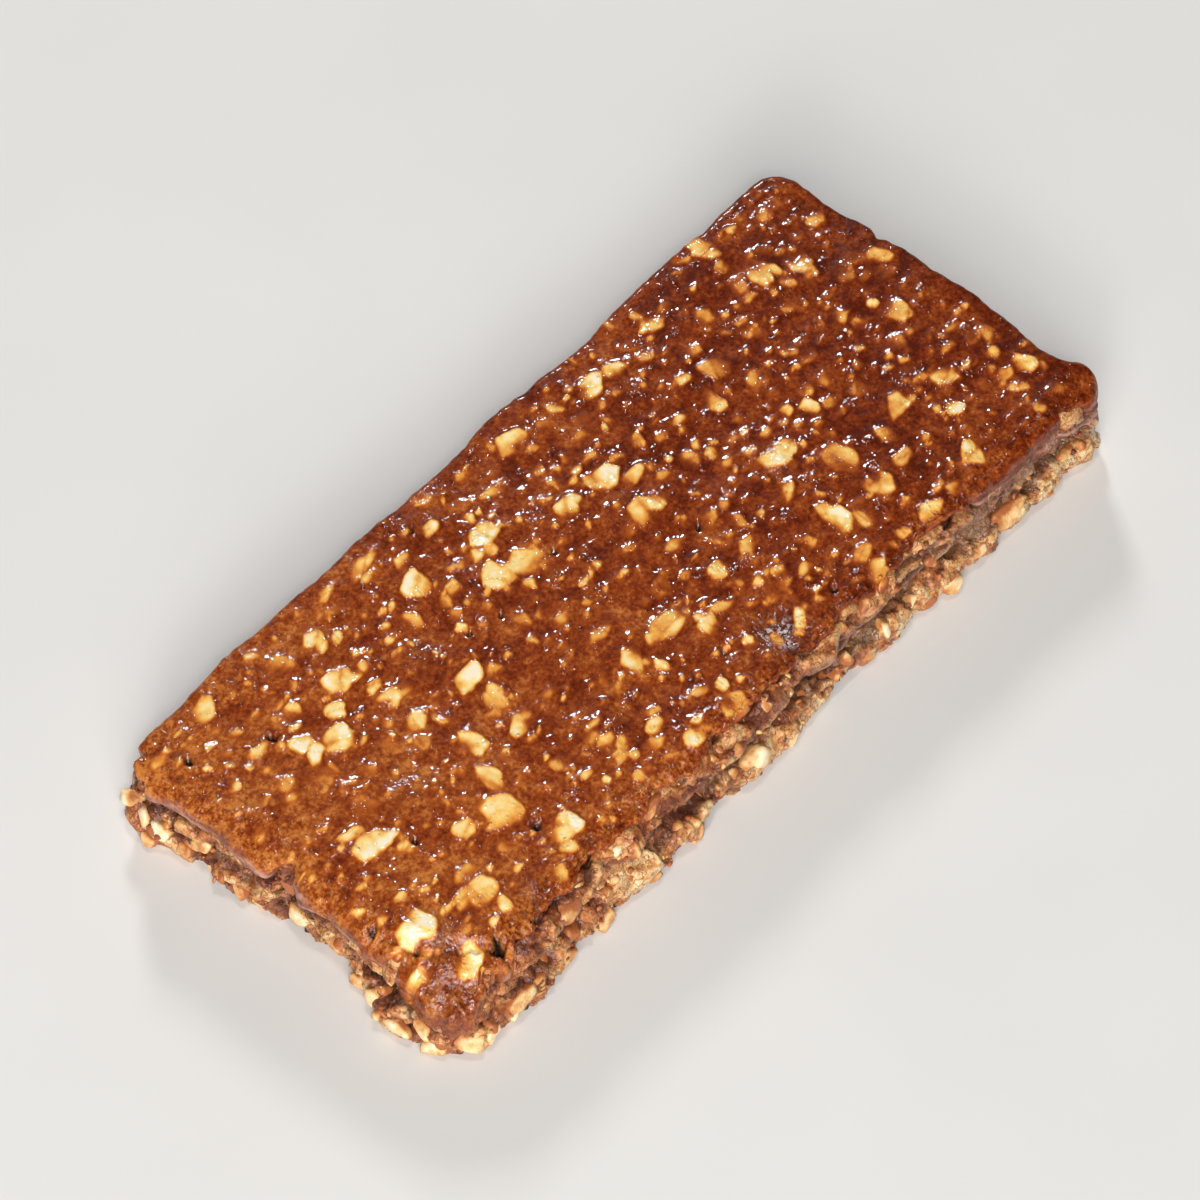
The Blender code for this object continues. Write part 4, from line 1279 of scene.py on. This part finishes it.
def loose_crumbs(name, count, least, most, rng):
    """Crumbs scattered over the crumb's relief, thickest on the ledge and round the crevice."""
    tries = count * 4
    row = rng.integers(12, CRUMB_ROWS - 2, tries)
    column = rng.integers(0, CRUMB_COLUMNS, tries)
    level = crumb_skin[row, column, 2]
    smooth = smooth_lip[row, column]
    wanted = np.where(level > 5.5, edge_share[column] ** 1.5, 0.8) * (1 - 0.85 * smooth)
    wanted = wanted * (1 - 0.9 * in_crevice[row, column]) * np.where(level < 0.8, 0.4, 1.0)
    keep = np.flatnonzero(rng.random(tries) < wanted)[:count]
    row, column = row[keep], column[keep]
    radius = least + (most - least) * rng.random(len(keep)) ** 2
    scale = radius[:, None] * rng.uniform((0.8, 0.7, 0.5), (1.3, 1.1, 0.9), (len(keep), 3))
    directions, quads, caps = ball_grid(CRUMB_AROUND, CRUMB_DOWN)
    planes, distances = stones(len(keep), rng)
    shape = stone_points(directions, planes, distances, scale)
    shape = np.einsum("nij,nmj->nmi", free_turns(len(keep), rng), shape)
    centre = crumb_skin[row, column] + crumb_normals[row, column] * (radius * 0.25)[:, None]
    shape += (centre + (*OUTLINE_CENTRE, 0.0))[:, None]
    shape[..., 2] = np.maximum(shape[..., 2], 0.02)
    faces = [copied_faces(quads, len(keep), len(directions)), copied_faces(caps, len(keep), len(directions))]
    shade = np.repeat(rng.random(len(keep)), len(directions))
    return make_piece(name, shape.reshape(-1, 3), faces, shade=shade, bare=np.ones_like(shade))


for kind, count, least, most, stops in CRUMB_KINDS:
    crumbs = loose_crumbs("crumbs_" + kind, count, least, most, rng)
    crumbs.data.materials.append(side_nut_finish(kind + " crumb", *stops))
    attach(crumbs, "root")


# ---------------------------------------------------------------------------
# The studio: a pale floor, soft daylight from above and behind, and a camera that looks down on the
# bar from over its near corner.
# ---------------------------------------------------------------------------
CAMERA_TURN = -48.93
CAMERA_RISE = 54.67
CAMERA_REACH = 629.6
CAMERA_ASIDE = 2.12
CAMERA_LENS = 189.4
FLOOR_HALF = 3000.0

floor_corners = np.array([(-1, -1, 0), (1, -1, 0), (1, 1, 0), (-1, 1, 0)]) * FLOOR_HALF
floor = make_piece("floor", floor_corners, [np.array([[0, 1, 2, 3]])])


def floor_finish():
    """Matt pale paper."""
    finish, tree, shader, place = new_finish("pale paper")
    tone = ramped(tree, speckle(tree, place, 40.0, 2.0), (0.3, (226, 224, 220)), (0.7, (230, 228, 224)))
    set_sockets(tree, shader, {"Base Color": tone, "Roughness": 0.85})
    return finish


floor.data.materials.append(floor_finish())


def direction(turn, rise):
    """Unit vector out from the bar at a turn about Z, with 0 in front, and a rise above the floor, in degrees."""
    turn, rise = np.radians((turn, rise))
    return np.array((np.sin(turn) * np.cos(rise), -np.cos(turn) * np.cos(rise), np.sin(rise)))


def aim(item, away, target):
    """Puts an item at a place looking at a target: its -Z along the view and its X level."""
    back = away / np.linalg.norm(away)
    right = np.cross((0, 0, 1), back)
    right = right / np.linalg.norm(right)
    up = np.cross(back, right)
    matrix = np.eye(4)
    matrix[:3, :3] = np.stack([right, up, back], axis=-1)
    matrix[:3, 3] = (target + away) * MM
    item.matrix_world = matrix.T.tolist()
    bpy.context.scene.collection.objects.link(item)


def softbox(name, turn, rise, reach, size, power, colour):
    """A square area light aimed at the bar; sizes in millimetres, power in watts."""
    light = bpy.data.lights.new(name, "AREA")
    light.shape = "SQUARE"
    light.size = size * MM
    light.energy = power
    light.color = colour
    aim(bpy.data.objects.new(name, light), direction(turn, rise) * reach, np.array((0.0, 0.0, 5.0)))


camera = bpy.data.cameras.new("camera")
camera.lens = CAMERA_LENS
camera.sensor_width = 36.0
camera.clip_end = 20.0
camera_object = bpy.data.objects.new("camera", camera)
view_back = direction(CAMERA_TURN, CAMERA_RISE)
view_right = np.cross((0, 0, 1), view_back)
view_right = view_right / np.linalg.norm(view_right)
aim(camera_object, view_back * CAMERA_REACH, np.array((0.0, 0.0, THICKNESS / 2)) - view_right * CAMERA_ASIDE)
bpy.context.scene.camera = camera_object

softbox("key", 140.0, 26.0, 900.0, 130.0, 3.9, (0.96, 0.97, 1.0))
softbox("overhead", -49.0, 84.0, 900.0, 110.0, 1.3, (0.97, 0.98, 1.0))
softbox("upper front", -45.0, 53.0, 900.0, 130.0, 1.8, (0.98, 0.98, 1.0))
softbox("lower front", -56.0, 25.0, 900.0, 160.0, 1.4, (0.98, 0.98, 1.0))
softbox("front", -52.0, 32.0, 1200.0, 900.0, 12.0, (1.0, 0.98, 0.94))

world = bpy.data.worlds.new("studio")
world.use_nodes = True
world.node_tree.nodes["Background"].inputs["Color"].default_value = (0.82, 0.87, 0.95, 1.0)
world.node_tree.nodes["Background"].inputs["Strength"].default_value = 0.03
bpy.context.scene.world = world
bpy.context.scene.view_settings.view_transform = "Standard"
